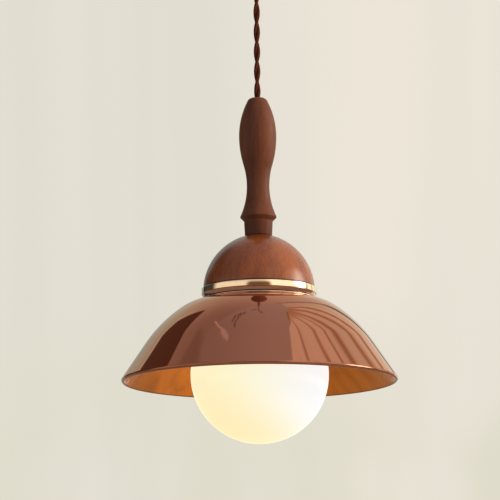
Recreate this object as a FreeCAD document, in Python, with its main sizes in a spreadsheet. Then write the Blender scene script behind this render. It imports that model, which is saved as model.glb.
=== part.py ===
import FreeCAD, Part
import math
import os

import Sketcher

# A pendant light in millimetres, +Z up, with the ceiling at z = 0 and the cord on the Z axis.
# From the top down: a turned canopy on a ceiling bracket, a gland, a twisted cord, a turned stem,
# a turned dome, a metal collar, a glass shade clamped on the lampholder, and a globe bulb.

# Each row is an alias in the sheet, its value and what it measures.
SIZES = (
    ("canopy_radius", 50.0, "outside of the wooden cup against the ceiling"),
    ("canopy_height", 28.0, "ceiling to the underside of the cup"),
    ("canopy_wall", 6.0, "side wall"),
    ("canopy_floor", 6.0, "thickness that the gland passes through"),
    ("canopy_edge_round", 9.0, "outer lower edge"),
    ("bracket_thickness", 2.0, "steel strip"),
    ("bracket_width", 20.0, "across the strip"),
    ("bracket_clearance", 1.6, "canopy's inside to an ear"),
    ("bracket_bend_radius", 2.0, "inside of a bend"),
    ("bracket_ear_drop", 15.0, "ceiling to the end of an ear"),
    ("slot_inset", 14.4, "ear's outside to the middle of a slot"),
    ("slot_length", 14.0, "end to end"),
    ("slot_width", 5.2, "takes a 5 mm screw"),
    ("feed_hole_radius", 6.0, "hole for the mains cores"),
    ("side_screw_radius", 2.0, "shank of a canopy screw"),
    ("side_screw_length", 12.0, "shank of a canopy screw"),
    ("side_screw_drop", 9.0, "ceiling to a canopy screw"),
    ("side_head_radius", 3.6, "head of a canopy screw"),
    ("side_head_height", 2.4, "head of a canopy screw"),
    ("thread_gap", 0.05, "between a screw and its threaded hole"),
    ("hole_gap", 0.25, "between a screw or tube and a plain hole"),
    ("block_width", 24.0, "terminal block along X"),
    ("well_spacing", 6.0, "between the two wells of a way"),
    ("block_height", 11.0, "terminal block"),
    ("block_setback", 15.0, "cord axis to the block's front"),
    ("pole_spacing", 10.0, "between the block's two ways"),
    ("entry_radius", 1.6, "cable entry of the block"),
    ("entry_depth", 3.0, "cable entry of the block"),
    ("entry_cover", 0.4, "left between a well and an entry"),
    ("well_radius", 2.2, "screw well in the top of the block"),
    ("well_depth", 4.0, "screw well in the top of the block"),
    ("well_setback", 4.0, "edge of the block to a well"),
    ("block_screw_height", 3.0, "screw in its well"),
    ("gland_radius", 7.0, "brass outlet under the canopy"),
    ("gland_drop", 14.0, "canopy to the gland's mouth"),
    ("gland_flange_radius", 9.0, "flange against the canopy"),
    ("gland_flange_height", 3.0, "flange against the canopy"),
    ("gland_thread_radius", 5.0, "threaded shank through the canopy"),
    ("gland_thread_rise", 6.0, "shank above the canopy's floor"),
    ("gland_mouth_round", 1.8, "bell mouth"),
    ("gland_nut_flats", 14.0, "across the lock nut"),
    ("gland_nut_height", 3.5, "lock nut"),
    ("grub_radius", 1.5, "grub screw that grips the cord"),
    ("grub_drop", 6.5, "canopy to the grub screw"),
    ("cord_radius", 3.0, "round the two twisted strands"),
    ("cord_drop", 100.0, "gland's mouth to the stem's top"),
    ("cord_gap", 0.5, "between the cord and a bore"),
    ("joint_gap", 0.3, "between pieces that move apart"),
    ("cord_tail", 3.0, "cord past the gland's shank"),
    ("lead_radius", 1.1, "one core of the cord"),
    ("lead_spread", 1.5, "cord axis to a core"),
    ("lead_arch", 5.0, "rise of the ceiling cores above the cord's end"),
    ("arch_share", 0.5, "share of the way to the block where a core starts to fall"),
    ("fall_share", 0.75, "share of the way to the block where a core is level again"),
    ("stem_length", 129.5, "top to foot"),
    ("stem_top_land", 1.3, "flat ring on the top"),
    ("stem_top_round", 1.4, "top edge"),
    ("stem_mouth_round", 1.6, "edge of the cord bore"),
    ("belly_radius", 17.15, "widest upper part"),
    ("belly_drop_share", 0.2772, "share of the stem above the belly"),
    ("waist_radius", 10.35, "thinnest part"),
    ("waist_drop_share", 0.6378, "share of the stem above the waist"),
    ("belly_share", 0.57, "share of the S curve that bends outwards"),
    ("bead_radius", 16.6, "turned bead above the foot"),
    ("bead_rise", 18.1, "foot to the bead"),
    ("bead_round", 1.3, "edge of the bead"),
    ("bead_under_angle", 45.0, "slope under the bead"),
    ("foot_neck_radius", 13.1, "foot under the bead"),
    ("foot_neck_rise", 14.1, "height of the foot"),
    ("foot_radius", 12.4, "foot on the dome"),
    ("socket_depth", 17.0, "nipple's hole in the foot"),
    ("dome_inset", 1.5, "collar's outside to the dome's widest line"),
    ("dome_widest_rise", 4.866, "collar's web to the dome's widest line"),
    ("dome_seat_margin", 0.3, "round the stem's foot"),
    ("dome_room", 1.7, "lampholder to the nipple's nut"),
    ("dome_wall", 7.0, "wood left round the cavity"),
    ("rebate_gap", 0.4, "collar's top to the step above it"),
    ("collar_radius", 52.2, "outside of the metal band"),
    ("collar_wall", 2.0, "metal band"),
    ("collar_rise", 7.2, "band above the collar's web"),
    ("collar_edge_round", 0.5, "band's top edge"),
    ("collar_web", 1.2, "web under the dome"),
    ("collar_lip_drop", 1.5, "lip below the web"),
    ("collar_lip_inset", 2.0, "band to the outside of the lip"),
    ("collar_lip_wall", 1.3, "lip"),
    ("collar_band_height", 3.9, "upright part of the band"),
    ("collar_groove_inset", 1.25, "band to the groove, and the round of the bead under it"),
    ("collar_groove_rise", 0.35, "groove above the collar's web"),
    ("shoulder_gap", 0.3, "between the dome's step and the band"),
    ("upper_gasket_height", 1.5, "felt between the collar and the glass"),
    ("upper_gasket_radius", 34.0, "felt between the collar and the glass"),
    ("lower_gasket_height", 0.8, "felt under the glass"),
    ("lower_gasket_radius", 27.5, "felt under the glass"),
    ("shade_radius", 125.0, "rim of the glass shade"),
    ("glass_thickness", 4.0, "wall of the shade"),
    ("shade_flat_inset", 8.9, "collar's outside to the end of the shade's flat top"),
    ("shoulder_radius", 49.5, "curve next to the flat"),
    ("shoulder_angle", 35.0, "slope where the first curve ends"),
    ("wall_start_share", 0.8314, "share of the rim's radius where the straight wall starts"),
    ("wall_angle", 56.2, "slope of the straight wall"),
    ("shade_hole_gap", 1.25, "round the lampholder"),
    ("ring_radius", 28.5, "threaded ring under the glass"),
    ("ring_height", 4.0, "threaded ring"),
    ("ring_notch_radius", 2.2, "finger notch"),
    ("holder_wall", 2.55, "lampholder's case"),
    ("ring_overhang", 1.5, "ring's underside below the skirt's end"),
    ("holder_shoulder", 2.75, "shoulder past the case"),
    ("holder_shoulder_height", 2.5, "shoulder on the collar"),
    ("ledge_width", 2.2, "ledge under the core"),
    ("ledge_clearance", 1.2, "threaded shell to the ledge"),
    ("ledge_height", 1.5, "ledge under the core"),
    ("clamp_gap", 0.5, "cord clamp to the cap's boss"),
    ("cap_round", 10.5, "its rounded top"),
    ("boss_radius", 7.5, "threaded boss in the cap"),
    ("boss_height", 5.0, "threaded boss in the cap"),
    ("insert_height", 10.0, "ceramic core"),
    ("post_radius", 2.6, "post for a clamp screw"),
    ("post_height", 4.0, "post for a clamp screw"),
    ("post_clearance", 0.4, "cap's boss to a clamp screw's head"),
    ("pocket_radius", 4.4, "hole for the sprung contact"),
    ("pocket_depth", 8.0, "hole for the sprung contact"),
    ("cap_clearance", 0.3, "bulb's cap to the threaded shell"),
    ("shell_wall", 0.4, "threaded shell"),
    ("shell_flange", 0.5, "top of the shell"),
    ("shell_clearance", 0.75, "shell's end to the bulb's neck"),
    ("shell_hole_radius", 3.2, "way through for the contact"),
    ("thread_pitch", 3.63, "fall of the bulb in one turn"),
    ("plunger_radius", 2.5, "sprung centre contact"),
    ("plunger_flange_radius", 3.9, "its flange"),
    ("plunger_flange_height", 1.0, "its flange"),
    ("plunger_pin_radius", 1.6, "pin inside the spring"),
    ("plunger_pin_height", 1.5, "pin inside the spring"),
    ("spring_radius", 2.7, "middle of the wire"),
    ("wire_radius", 0.35, "spring wire"),
    ("spring_turns", 3.0, "number of turns"),
    ("terminal_side", 5.0, "brass terminal on the core"),
    ("terminal_height", 3.6, "brass terminal on the core"),
    ("terminal_reach", 11.0, "axis to a terminal"),
    ("terminal_screw_radius", 1.5, "screw on a terminal"),
    ("terminal_head_radius", 2.2, "screw on a terminal"),
    ("terminal_head_height", 1.6, "screw on a terminal"),
    ("clamp_height", 3.0, "cord clamp"),
    ("clamp_radius", 5.6, "cord clamp round the cord"),
    ("clamp_screw_radius", 1.25, "screw through the clamp"),
    ("clamp_screw_length", 7.0, "screw through the clamp"),
    ("clamp_head_radius", 2.3, "screw through the clamp"),
    ("clamp_head_height", 1.6, "screw through the clamp"),
    ("nipple_radius", 5.0, "threaded tube"),
    ("nipple_bore_radius", 3.7, "way through for the cord"),
    ("nipple_end_gap", 2.0, "tube's end to the end of its hole in the stem"),
    ("nipple_nut_flats", 14.0, "nut under the dome's top"),
    ("nipple_nut_height", 3.2, "nut under the dome's top"),
    ("nipple_washer_radius", 9.0, "washer under the dome's top"),
    ("nipple_washer_height", 0.8, "washer under the dome's top"),
    ("globe_radius", 62.5, "opal glass of the bulb"),
    ("globe_wall", 1.2, "opal glass of the bulb"),
    ("globe_gap", 0.6, "ring's underside down to the globe at the ring's bore"),
    ("glass_neck_height", 1.0, "top of the globe's round to its mouth"),
    ("tip_clearance", 1.05, "bulb's tip to the lampholder's core"),
    ("housing_clearance", 0.9, "bulb's neck to the skirt"),
    ("housing_wall", 0.45, "plastic neck of the bulb"),
    ("housing_drop", 1.5, "neck's wall over the glass"),
    ("housing_plate", 2.0, "neck's end plate"),
    ("spigot_gap", 0.1, "neck inside the cap"),
    ("housing_spigot_height", 6.0, "neck inside the cap"),
    ("board_gap", 0.4, "light board to the glass neck"),
    ("board_height", 1.6, "light board in the neck"),
    ("emitter_side", 2.8, "one light emitter"),
    ("emitter_height", 0.7, "one light emitter"),
    ("emitter_reach", 9.5, "axis to an emitter"),
    ("bulb_cap_radius", 13.1, "threaded cap of the bulb"),
    ("bulb_cap_wall", 0.4, "threaded cap of the bulb"),
    ("bulb_cap_length", 18.5, "straight part of the cap"),
    ("bulb_cap_taper", 1.6, "shoulder of the cap"),
    ("bulb_cap_mouth_radius", 10.6, "hole in the cap's end"),
    ("insulator_height", 3.6, "dark glass on the cap"),
    ("insulator_top_radius", 6.0, "dark glass on the cap"),
    ("tip_radius", 4.4, "centre contact of the bulb"),
    ("tip_height", 1.3, "centre contact of the bulb"),
)

EMITTER_COUNT = 8
NOTCH_COUNT = 12
PLANES = {"XY": "XY_Plane", "XZ": "XZ_Plane", "YZ": "YZ_Plane"}
ROOT = FreeCAD.Vector(0, 0, 0)
UP = FreeCAD.Vector(0, 0, 1)

doc = FreeCAD.newDocument("pendant_light")
parts = {}


class Size:
    """A number with the sheet expression that gives it, so that sums of sizes stay bound."""

    def __init__(self, number, text):
        self.number = float(number)
        self.text = text

    def join(self, sign, other, number):
        return Size(number, f"({self.text} {sign} {other.text})")

    def __add__(self, other):
        other = size_of(other)
        return self.join("+", other, self.number + other.number)

    def __sub__(self, other):
        other = size_of(other)
        return self.join("-", other, self.number - other.number)

    def __mul__(self, other):
        other = size_of(other)
        return self.join("*", other, self.number * other.number)

    def __truediv__(self, other):
        other = size_of(other)
        return self.join("/", other, self.number / other.number)

    def __rmul__(self, other):
        return size_of(other) * self

    def __neg__(self):
        return Size(-self.number, f"(0 - {self.text})")


def size_of(value):
    """Wrap a plain number, and leave a size as it is."""
    if isinstance(value, Size):
        return value
    return Size(value, str(value))


def root_of(size):
    return Size(math.sqrt(size.number), f"sqrt({size.text})")


def sine(angle):
    angle = size_of(angle)
    return Size(math.sin(math.radians(angle.number)), f"sin({angle.text})")


def cosine(angle):
    angle = size_of(angle)
    return Size(math.cos(math.radians(angle.number)), f"cos({angle.text})")


def other_leg(long_side, leg):
    """The third side of a right-angled triangle."""
    return root_of(long_side * long_side - leg * leg)


def arc_through(offset, height):
    """Radius of an arc that starts upright and ends at this offset and height."""
    return (offset * offset + height * height) / (2 * offset)


def arc_onto_bead(offset, height, bead_round):
    """Radius of an arc that starts upright and runs into a round bead centred at offset and height."""
    return (offset * offset + height * height - bead_round * bead_round) / (2 * (offset + bead_round))


def make_sheet():
    """Write the driving sizes into the sheet, and give each back as an attribute."""
    sheet = doc.addObject("Spreadsheet::Sheet", "Sizes")
    cells = type("Cells", (), {})()
    for row, (alias, value, note) in enumerate(SIZES, start=1):
        sheet.set(f"A{row}", alias)
        sheet.set(f"B{row}", str(value))
        sheet.set(f"C{row}", note)
        sheet.setAlias(f"B{row}", alias)
        setattr(cells, alias, Size(value, f"Sizes.{alias}"))
    doc.recompute()
    return cells


dim = make_sheet()

# Lengths that follow from more than one size. The lampholder is sized by the bulb that it takes.
block_depth = dim.well_spacing + 2 * dim.well_setback
entry_drop = dim.well_depth + dim.entry_cover + dim.entry_radius
cord_bore_radius = dim.cord_radius + dim.cord_gap
screw_hole_radius = dim.side_screw_radius + dim.hole_gap
band_bore_radius = dim.collar_radius - dim.collar_wall
shell_radius = dim.bulb_cap_radius + dim.cap_clearance + dim.shell_wall
ledge_radius = shell_radius + dim.ledge_clearance
holder_bore_radius = ledge_radius + dim.ledge_width
holder_radius = holder_bore_radius + dim.holder_wall
housing_radius = holder_bore_radius - dim.housing_clearance
glass_neck_radius = housing_radius - dim.housing_wall - dim.hole_gap
glass_neck_rise = dim.globe_radius + dim.glass_neck_height
housing_top_rise = glass_neck_rise + dim.hole_gap + dim.housing_plate
cap_end_rise = housing_top_rise + dim.bulb_cap_length + dim.bulb_cap_taper
tip_rise = cap_end_rise + dim.insulator_height + dim.tip_height
ring_bore_radius = holder_radius + dim.joint_gap
glass_drop = dim.collar_web + dim.upper_gasket_height
ring_drop = glass_drop + dim.glass_thickness + dim.lower_gasket_height + dim.joint_gap
ring_end_drop = ring_drop + dim.ring_height
skirt_drop = ring_end_drop - dim.ring_overhang
globe_drop = ring_end_drop + dim.globe_gap + other_leg(dim.globe_radius, ring_bore_radius)
skirt_rise = tip_rise + dim.tip_clearance - globe_drop
shell_length = tip_rise + dim.tip_clearance - housing_top_rise - dim.shell_clearance
cap_height = dim.insert_height + dim.post_height + dim.clamp_height + dim.clamp_gap + dim.boss_height
post_reach = dim.boss_radius + dim.clamp_head_radius + dim.post_clearance

# Seats from the ceiling down.
canopy_base_z = -dim.canopy_height
canopy_floor_z = canopy_base_z + dim.canopy_floor
mouth_z = canopy_base_z - dim.gland_drop
stem_top_z = mouth_z - dim.cord_drop
stem_foot_z = stem_top_z - dim.stem_length
dome_ceiling_z = stem_foot_z - dim.dome_wall
nut_z = dome_ceiling_z - dim.nipple_washer_height - dim.nipple_nut_height
cap_top_z = nut_z - dim.dome_room
skirt_top_z = cap_top_z - cap_height
web_z = skirt_top_z - skirt_rise
web_under_z = web_z - dim.collar_web
glass_z = web_z - glass_drop
glass_under_z = glass_z - dim.glass_thickness
ring_z = web_z - ring_drop
insert_top_z = skirt_top_z + dim.insert_height
clamp_z = insert_top_z + dim.post_height
globe_z = web_z - globe_drop

class Outline:
    """A closed outline, drawn step by step in a sketch's own X and Y."""

    def __init__(self, x, y):
        self.places = [(size_of(x), size_of(y))]
        self.arcs = []

    def line(self, x, y):
        self.arcs.append(None)
        self.places.append((size_of(x), size_of(y)))
        return self

    def arc(self, x, y, centre_x, centre_y, clockwise=False):
        self.arcs.append((size_of(centre_x), size_of(centre_y), clockwise))
        self.places.append((size_of(x), size_of(y)))
        return self

    def close(self):
        return self.line(*self.places[0])

    def draw(self, sketch):
        edges = []
        for step, arc in enumerate(self.arcs):
            start = self.places[step]
            end = self.places[step + 1]
            edges.append(draw_arc(sketch, start, end, arc) if arc else draw_line(sketch, start, end))
        for step, (index, first, last) in enumerate(edges):
            before = edges[step - 1]
            sketch.addConstraint(Sketcher.Constraint("Coincident", before[0], before[2], index, first))
            pin(sketch, index, first, self.places[step])
            if self.arcs[step]:
                pin_centre(sketch, index, self.places[step], self.places[step + 1], self.arcs[step])


class Circle:
    """A round outline."""

    def __init__(self, radius, x=0, y=0):
        self.radius = size_of(radius)
        self.place = (size_of(x), size_of(y))

    def draw(self, sketch):
        index = sketch.addGeometry(Part.Circle(flat(self.place), UP, self.radius.number))
        rule = sketch.addConstraint(Sketcher.Constraint("Radius", index, self.radius.number))
        sketch.setExpression(f"Constraints[{rule}]", self.radius.text)
        pin(sketch, index, 3, self.place)


def flat(place):
    return FreeCAD.Vector(place[0].number, place[1].number, 0)


def draw_line(sketch, start, end):
    index = sketch.addGeometry(Part.LineSegment(flat(start), flat(end)))
    return index, 1, 2


def draw_arc(sketch, start, end, arc):
    """Add an arc, which a sketch stores anticlockwise."""
    centre = flat(arc)
    first, last = (end, start) if arc[2] else (start, end)
    out = flat(first) - centre
    back = flat(last) - centre
    circle = Part.Circle(centre, UP, out.Length)
    begin = math.atan2(out.y, out.x)
    finish = math.atan2(back.y, back.x)
    index = sketch.addGeometry(Part.ArcOfCircle(circle, begin, finish))
    return (index, 2, 1) if arc[2] else (index, 1, 2)


def pin_axis(sketch, kind, axis, index, vertex, size):
    """Hold one coordinate of a point to its size, or to the sketch's axis where it is zero."""
    if size.text == "0":
        sketch.addConstraint(Sketcher.Constraint("PointOnObject", index, vertex, axis))
        return
    rule = sketch.addConstraint(Sketcher.Constraint(kind, -1, 1, index, vertex, size.number))
    sketch.setExpression(f"Constraints[{rule}]", size.text)


def pin(sketch, index, vertex, place):
    pin_axis(sketch, "DistanceX", -2, index, vertex, place[0])
    pin_axis(sketch, "DistanceY", -1, index, vertex, place[1])


def pin_centre(sketch, index, start, end, arc):
    """Hold an arc's centre along the axis that its chord leaves free."""
    chord = flat(end) - flat(start)
    if abs(chord.y) > abs(chord.x):
        pin_axis(sketch, "DistanceX", -2, index, 3, arc[0])
    else:
        pin_axis(sketch, "DistanceY", -1, index, 3, arc[1])


def make_body(label, x=0, y=0, z=0, turn=None):
    """Start a body whose own frame lies at x, y, z in the light's frame."""
    body = doc.addObject("PartDesign::Body", label)
    body.Label = label
    if turn:
        body.Placement = FreeCAD.Placement(ROOT, FreeCAD.Rotation(*turn))
    for axis, value in (("x", x), ("y", y), ("z", z)):
        body.setExpression(f"Placement.Base.{axis}", size_of(value).text)
    return body


def make_sketch(body, name, plane, *outlines, rise=None):
    """Draw outlines on one of the body's own planes, or at a rise above it."""
    sketch = body.newObject("Sketcher::SketchObject", f"{body.Name}_{name}")
    role = PLANES[plane]
    base = [item for item in body.Origin.OriginFeatures if item.Role == role]
    sketch.AttachmentSupport = [(base[0], "")]
    sketch.MapMode = "FlatFace"
    if rise:
        sketch.setExpression("AttachmentOffset.Base.z", rise.text)
    for outline in outlines:
        outline.draw(sketch)
    return sketch


def revolve(body, name, *outlines):
    """Turn outlines of the XZ plane about the body's own Z axis."""
    feature = body.newObject("PartDesign::Revolution", f"{body.Name}_{name}_turned")
    feature.Profile = make_sketch(body, name, "XZ", *outlines)
    feature.ReferenceAxis = (feature.Profile[0], ["V_Axis"])
    feature.Angle = 360
    return feature


def pad(body, name, plane, length, *outlines, down=False, middle=False, rise=None):
    """Raise outlines off a plane."""
    sketch = make_sketch(body, name, plane, *outlines, rise=rise)
    feature = body.newObject("PartDesign::Pad", f"{body.Name}_{name}_pad")
    feature.Profile = sketch
    feature.setExpression("Length", length.text)
    feature.Reversed = down
    feature.Midplane = middle
    return feature


def pocket(body, name, plane, length, *outlines, rise=None):
    """Cut outlines away, to a depth below their plane, or right through to both sides."""
    sketch = make_sketch(body, name, plane, *outlines, rise=rise)
    feature = body.newObject("PartDesign::Pocket", f"{body.Name}_{name}_cut")
    feature.Profile = sketch
    if length:
        feature.setExpression("Length", length.text)
    else:
        feature.Type = "ThroughAll"
        feature.Midplane = True
    return feature


def repeat(body, feature, count):
    """Repeat a feature round the body's own Z axis."""
    doc.recompute()
    pattern = body.newObject("PartDesign::PolarPattern", f"{feature.Name}_ring")
    axis = [item for item in body.Origin.OriginFeatures if item.Role == "Z_Axis"]
    pattern.Originals = [feature]
    pattern.Axis = (axis[0], [""])
    pattern.Angle = 360
    pattern.Occurrences = count
    body.Tip = pattern
    return pattern


def keep(label, item):
    """List a finished sub-part under the name of its file."""
    item.Label = label
    parts[label] = item


def keep_mirrored(label, items, normals):
    """Keep items together with their mirror images in planes through the origin."""
    for normal in normals:
        for item in list(items):
            image = doc.addObject("Part::Mirroring", f"{item.Name}_image")
            image.Source = item
            image.Base = ROOT
            image.Normal = normal
            items.append(image)
    group = doc.addObject("Part::Compound", f"{label}_group")
    group.Links = items
    keep(label, group)


def hexagon(across_flats):
    """A nut's outline with two corners on the X axis."""
    corner = across_flats / (2 * cosine(30))
    outline = Outline(corner, 0)
    for angle in range(60, 360, 60):
        outline.line(corner * cosine(angle), corner * sine(angle))
    return outline.close()


def rectangle(width, depth, x=0, y=0):
    """A rectangle centred on x, y."""
    half_width = width / 2
    half_depth = depth / 2
    left = size_of(x) - half_width
    right = size_of(x) + half_width
    front = size_of(y) - half_depth
    back = size_of(y) + half_depth
    return Outline(left, front).line(right, front).line(right, back).line(left, back).close()


def slot(x, length, width):
    """A slot along X with round ends, centred on x."""
    radius = width / 2
    reach = length / 2 - radius
    outline = Outline(x - reach, -radius).line(x + reach, -radius)
    outline.arc(x + reach, radius, x + reach, 0).line(x - reach, radius)
    return outline.arc(x - reach, -radius, x - reach, 0)


def tube_path(points):
    """Straight runs joined by tangent arcs, each as large as its shorter run allows."""
    reach_share = 0.45
    edges = []
    here = points[0]
    for before, corner, after in zip(points, points[1:], points[2:]):
        back = before - corner
        ahead = after - corner
        trim = min(back.Length, ahead.Length) * reach_share
        back.normalize()
        ahead.normalize()
        half_turn = (math.pi - back.getAngle(ahead)) / 2
        radius = trim / math.tan(half_turn)
        to_centre = (back + ahead).normalize() * (radius / math.cos(half_turn))
        middle = corner + to_centre - (back + ahead).normalize() * radius
        start = corner + back * trim
        end = corner + ahead * trim
        edges.append(Part.LineSegment(here, start).toShape())
        edges.append(Part.Arc(start, middle, end).toShape())
        here = end
        print(f"bend radius {radius:.2f}")
    edges.append(Part.LineSegment(here, points[-1]).toShape())
    return Part.Wire(edges)


def make_tube(name, places, radius):
    """A round core along places, which are points in sizes."""
    points = [FreeCAD.Vector(*(size_of(value).number for value in place)) for place in places]
    path = tube_path(points)
    ring = Part.Wire([Part.Circle(points[0], points[1] - points[0], radius.number).toShape()])
    item = doc.addObject("Part::Feature", name)
    item.Shape = path.makePipeShell([ring], True, False)
    return item


def make_canopy():
    """Wooden cup, open against the ceiling, with the gland's hole and two side holes."""
    body = make_body("canopy")
    inner = dim.canopy_radius - dim.canopy_wall
    corner = dim.canopy_radius - dim.canopy_edge_round
    hole = dim.gland_thread_radius + dim.hole_gap
    outline = Outline(hole, canopy_floor_z).line(hole, canopy_base_z).line(corner, canopy_base_z)
    outline.arc(dim.canopy_radius, canopy_base_z + dim.canopy_edge_round,
                corner, canopy_base_z + dim.canopy_edge_round)
    outline.line(dim.canopy_radius, 0).line(inner, 0).line(inner, canopy_floor_z).close()
    revolve(body, "cup", outline)
    doc.recompute()
    pocket(body, "side_holes", "YZ", None, Circle(screw_hole_radius, 0, -dim.side_screw_drop))
    keep("canopy", body)


def make_bracket():
    """Bent steel strip with two ceiling slots, a feed hole and a tapped hole in each ear."""
    body = make_body("ceiling_bracket")
    reach = dim.canopy_radius - dim.canopy_wall - dim.bracket_clearance
    inside = reach - dim.bracket_thickness
    outer_bend = dim.bracket_bend_radius + dim.bracket_thickness
    bend_x = reach - outer_bend
    outline = Outline(-bend_x, 0)
    outline.arc(-reach, -outer_bend, -bend_x, -outer_bend)
    outline.line(-reach, -dim.bracket_ear_drop).line(-inside, -dim.bracket_ear_drop)
    outline.line(-inside, -outer_bend)
    outline.arc(-bend_x, -dim.bracket_thickness, -bend_x, -outer_bend, clockwise=True)
    outline.line(bend_x, -dim.bracket_thickness)
    outline.arc(inside, -outer_bend, bend_x, -outer_bend, clockwise=True)
    outline.line(inside, -dim.bracket_ear_drop).line(reach, -dim.bracket_ear_drop)
    outline.line(reach, -outer_bend).arc(bend_x, 0, bend_x, -outer_bend).close()
    pad(body, "strip", "XZ", dim.bracket_width, outline, middle=True)
    doc.recompute()
    half = reach - dim.slot_inset
    cuts = (slot(half, dim.slot_length, dim.slot_width),
            slot(-half, dim.slot_length, dim.slot_width), Circle(dim.feed_hole_radius))
    pocket(body, "slots", "XY", dim.bracket_thickness, *cuts)
    doc.recompute()
    tapped = dim.side_screw_radius + dim.thread_gap
    pocket(body, "tapped_holes", "YZ", None, Circle(tapped, 0, -dim.side_screw_drop))
    keep("ceiling_bracket", body)


def make_canopy_screws():
    """Two side screws through the canopy into the bracket's ears."""
    seat = dim.canopy_radius
    body = make_body("canopy_screw", seat, 0, -dim.side_screw_drop, (FreeCAD.Vector(0, 1, 0), 90))
    outline = Outline(0, dim.side_head_height).line(dim.side_head_radius, dim.side_head_height)
    outline.line(dim.side_head_radius, 0).line(dim.side_screw_radius, 0)
    outline.line(dim.side_screw_radius, -dim.side_screw_length).line(0, -dim.side_screw_length)
    revolve(body, "screw", outline.close())
    keep_mirrored("canopy_screws", [body], [FreeCAD.Vector(1, 0, 0)])


def make_terminal_block():
    """Two-way block on the canopy's floor, with its front face towards the cord."""
    top_z = canopy_floor_z + dim.block_height
    body = make_body("terminal_block", 0, dim.block_setback, top_z)
    outline = rectangle(dim.block_width, block_depth, 0, block_depth / 2)
    pad(body, "block", "XY", dim.block_height, outline, down=True)
    doc.recompute()
    half = dim.pole_spacing / 2
    back = block_depth - dim.well_setback
    wells = [Circle(dim.well_radius, x, y) for x in (half, -half) for y in (dim.well_setback, back)]
    pocket(body, "wells", "XY", dim.well_depth, *wells)
    doc.recompute()
    entries = [Circle(dim.entry_radius, x, -entry_drop) for x in (half, -half)]
    pocket(body, "entries", "XZ", dim.entry_depth, *entries)
    keep("terminal_block", body)


def make_block_screws():
    """Four clamp screws in the block's wells."""
    base_z = canopy_floor_z + dim.block_height - dim.well_depth
    radius = dim.well_radius - dim.hole_gap
    screws = []
    for row, y in enumerate((dim.well_setback, block_depth - dim.well_setback)):
        body = make_body(f"block_screw_{row}", dim.pole_spacing / 2, dim.block_setback + y, base_z)
        pad(body, "screw", "XY", dim.block_screw_height, Circle(radius))
        screws.append(body)
    keep_mirrored("terminal_block_screws", screws, [FreeCAD.Vector(1, 0, 0)])


def make_gland():
    """Brass outlet with a flange, a threaded shank and a bell mouth for the cord."""
    body = make_body("cord_gland", 0, 0, canopy_base_z)
    top = dim.canopy_floor + dim.gland_thread_rise
    round_z = dim.gland_mouth_round - dim.gland_drop
    mouth_radius = cord_bore_radius + dim.gland_mouth_round
    outline = Outline(cord_bore_radius, top).line(cord_bore_radius, round_z)
    outline.arc(mouth_radius, -dim.gland_drop, mouth_radius, round_z)
    outline.line(dim.gland_radius, -dim.gland_drop)
    outline.line(dim.gland_radius, -dim.gland_flange_height)
    outline.line(dim.gland_flange_radius, -dim.gland_flange_height).line(dim.gland_flange_radius, 0)
    outline.line(dim.gland_thread_radius, 0).line(dim.gland_thread_radius, top)
    revolve(body, "outlet", outline.close())
    doc.recompute()
    hole = Circle(dim.grub_radius + dim.thread_gap, 0, -dim.grub_drop)
    pocket(body, "grub_hole", "YZ", None, hole)
    keep("cord_gland", body)


def make_nut(label, z, flats, height, shank_radius):
    """A lock nut on a threaded shank."""
    body = make_body(label, 0, 0, z)
    pad(body, "nut", "XY", height, hexagon(flats), Circle(shank_radius + dim.thread_gap))
    keep(label, body)


def make_washer():
    """Washer between the nipple's nut and the dome."""
    body = make_body("nipple_washer", 0, 0, dome_ceiling_z - dim.nipple_washer_height)
    hole = Circle(dim.nipple_radius + dim.hole_gap)
    pad(body, "washer", "XY", dim.nipple_washer_height, Circle(dim.nipple_washer_radius), hole)
    keep("nipple_washer", body)


def make_gland_screws():
    """Two grub screws that face each other across the cord."""
    start = dim.cord_radius + dim.thread_gap
    level = canopy_base_z - dim.grub_drop
    body = make_body("grub_screw", start, 0, level, (FreeCAD.Vector(0, 1, 0), 90))
    pad(body, "screw", "XY", dim.gland_radius - start, Circle(dim.grub_radius))
    keep_mirrored("gland_screws", [body], [FreeCAD.Vector(1, 0, 0)])


def make_cord(label, top_z, bottom_z, round_ends=False):
    """A straight stretch of cord on the Z axis, with ball ends where it pivots."""
    body = make_body(label)
    radius = dim.cord_radius
    if round_ends:
        outline = Outline(0, bottom_z - radius)
        outline.arc(radius, bottom_z, 0, bottom_z).line(radius, top_z)
        outline.arc(0, top_z + radius, 0, top_z).close()
    else:
        outline = Outline(0, bottom_z).line(radius, bottom_z).line(radius, top_z).line(0, top_z).close()
    revolve(body, "cord", outline)
    keep(label, body)


def make_ceiling_leads(start_z):
    """Two cores from the cord's end over into the terminal block."""
    end_z = canopy_floor_z + dim.block_height - entry_drop
    run = dim.block_setback
    side = dim.pole_spacing / 2
    spread = dim.lead_spread
    arch_z = start_z + dim.lead_arch
    places = (
        (spread, 0, start_z),
        (spread, 0, arch_z),
        (side, run * dim.arch_share, arch_z),
        (side, run * dim.fall_share, end_z),
        (side, run + dim.entry_depth, end_z),
    )
    lead = make_tube("ceiling_lead", places, dim.lead_radius)
    keep_mirrored("ceiling_leads", [lead], [FreeCAD.Vector(1, 0, 0)])


def make_lamp_leads(start_z):
    """Two cores from the cord's end out to the core's terminals."""
    end_z = insert_top_z + dim.lead_radius
    spread = dim.lead_spread
    end_x = dim.terminal_reach - dim.terminal_side / 2
    places = ((spread, 0, start_z), (spread, 0, end_z), (end_x, 0, end_z))
    lead = make_tube("lamp_lead", places, dim.lead_radius)
    keep_mirrored("lamp_leads", [lead], [FreeCAD.Vector(1, 0, 0)])


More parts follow.
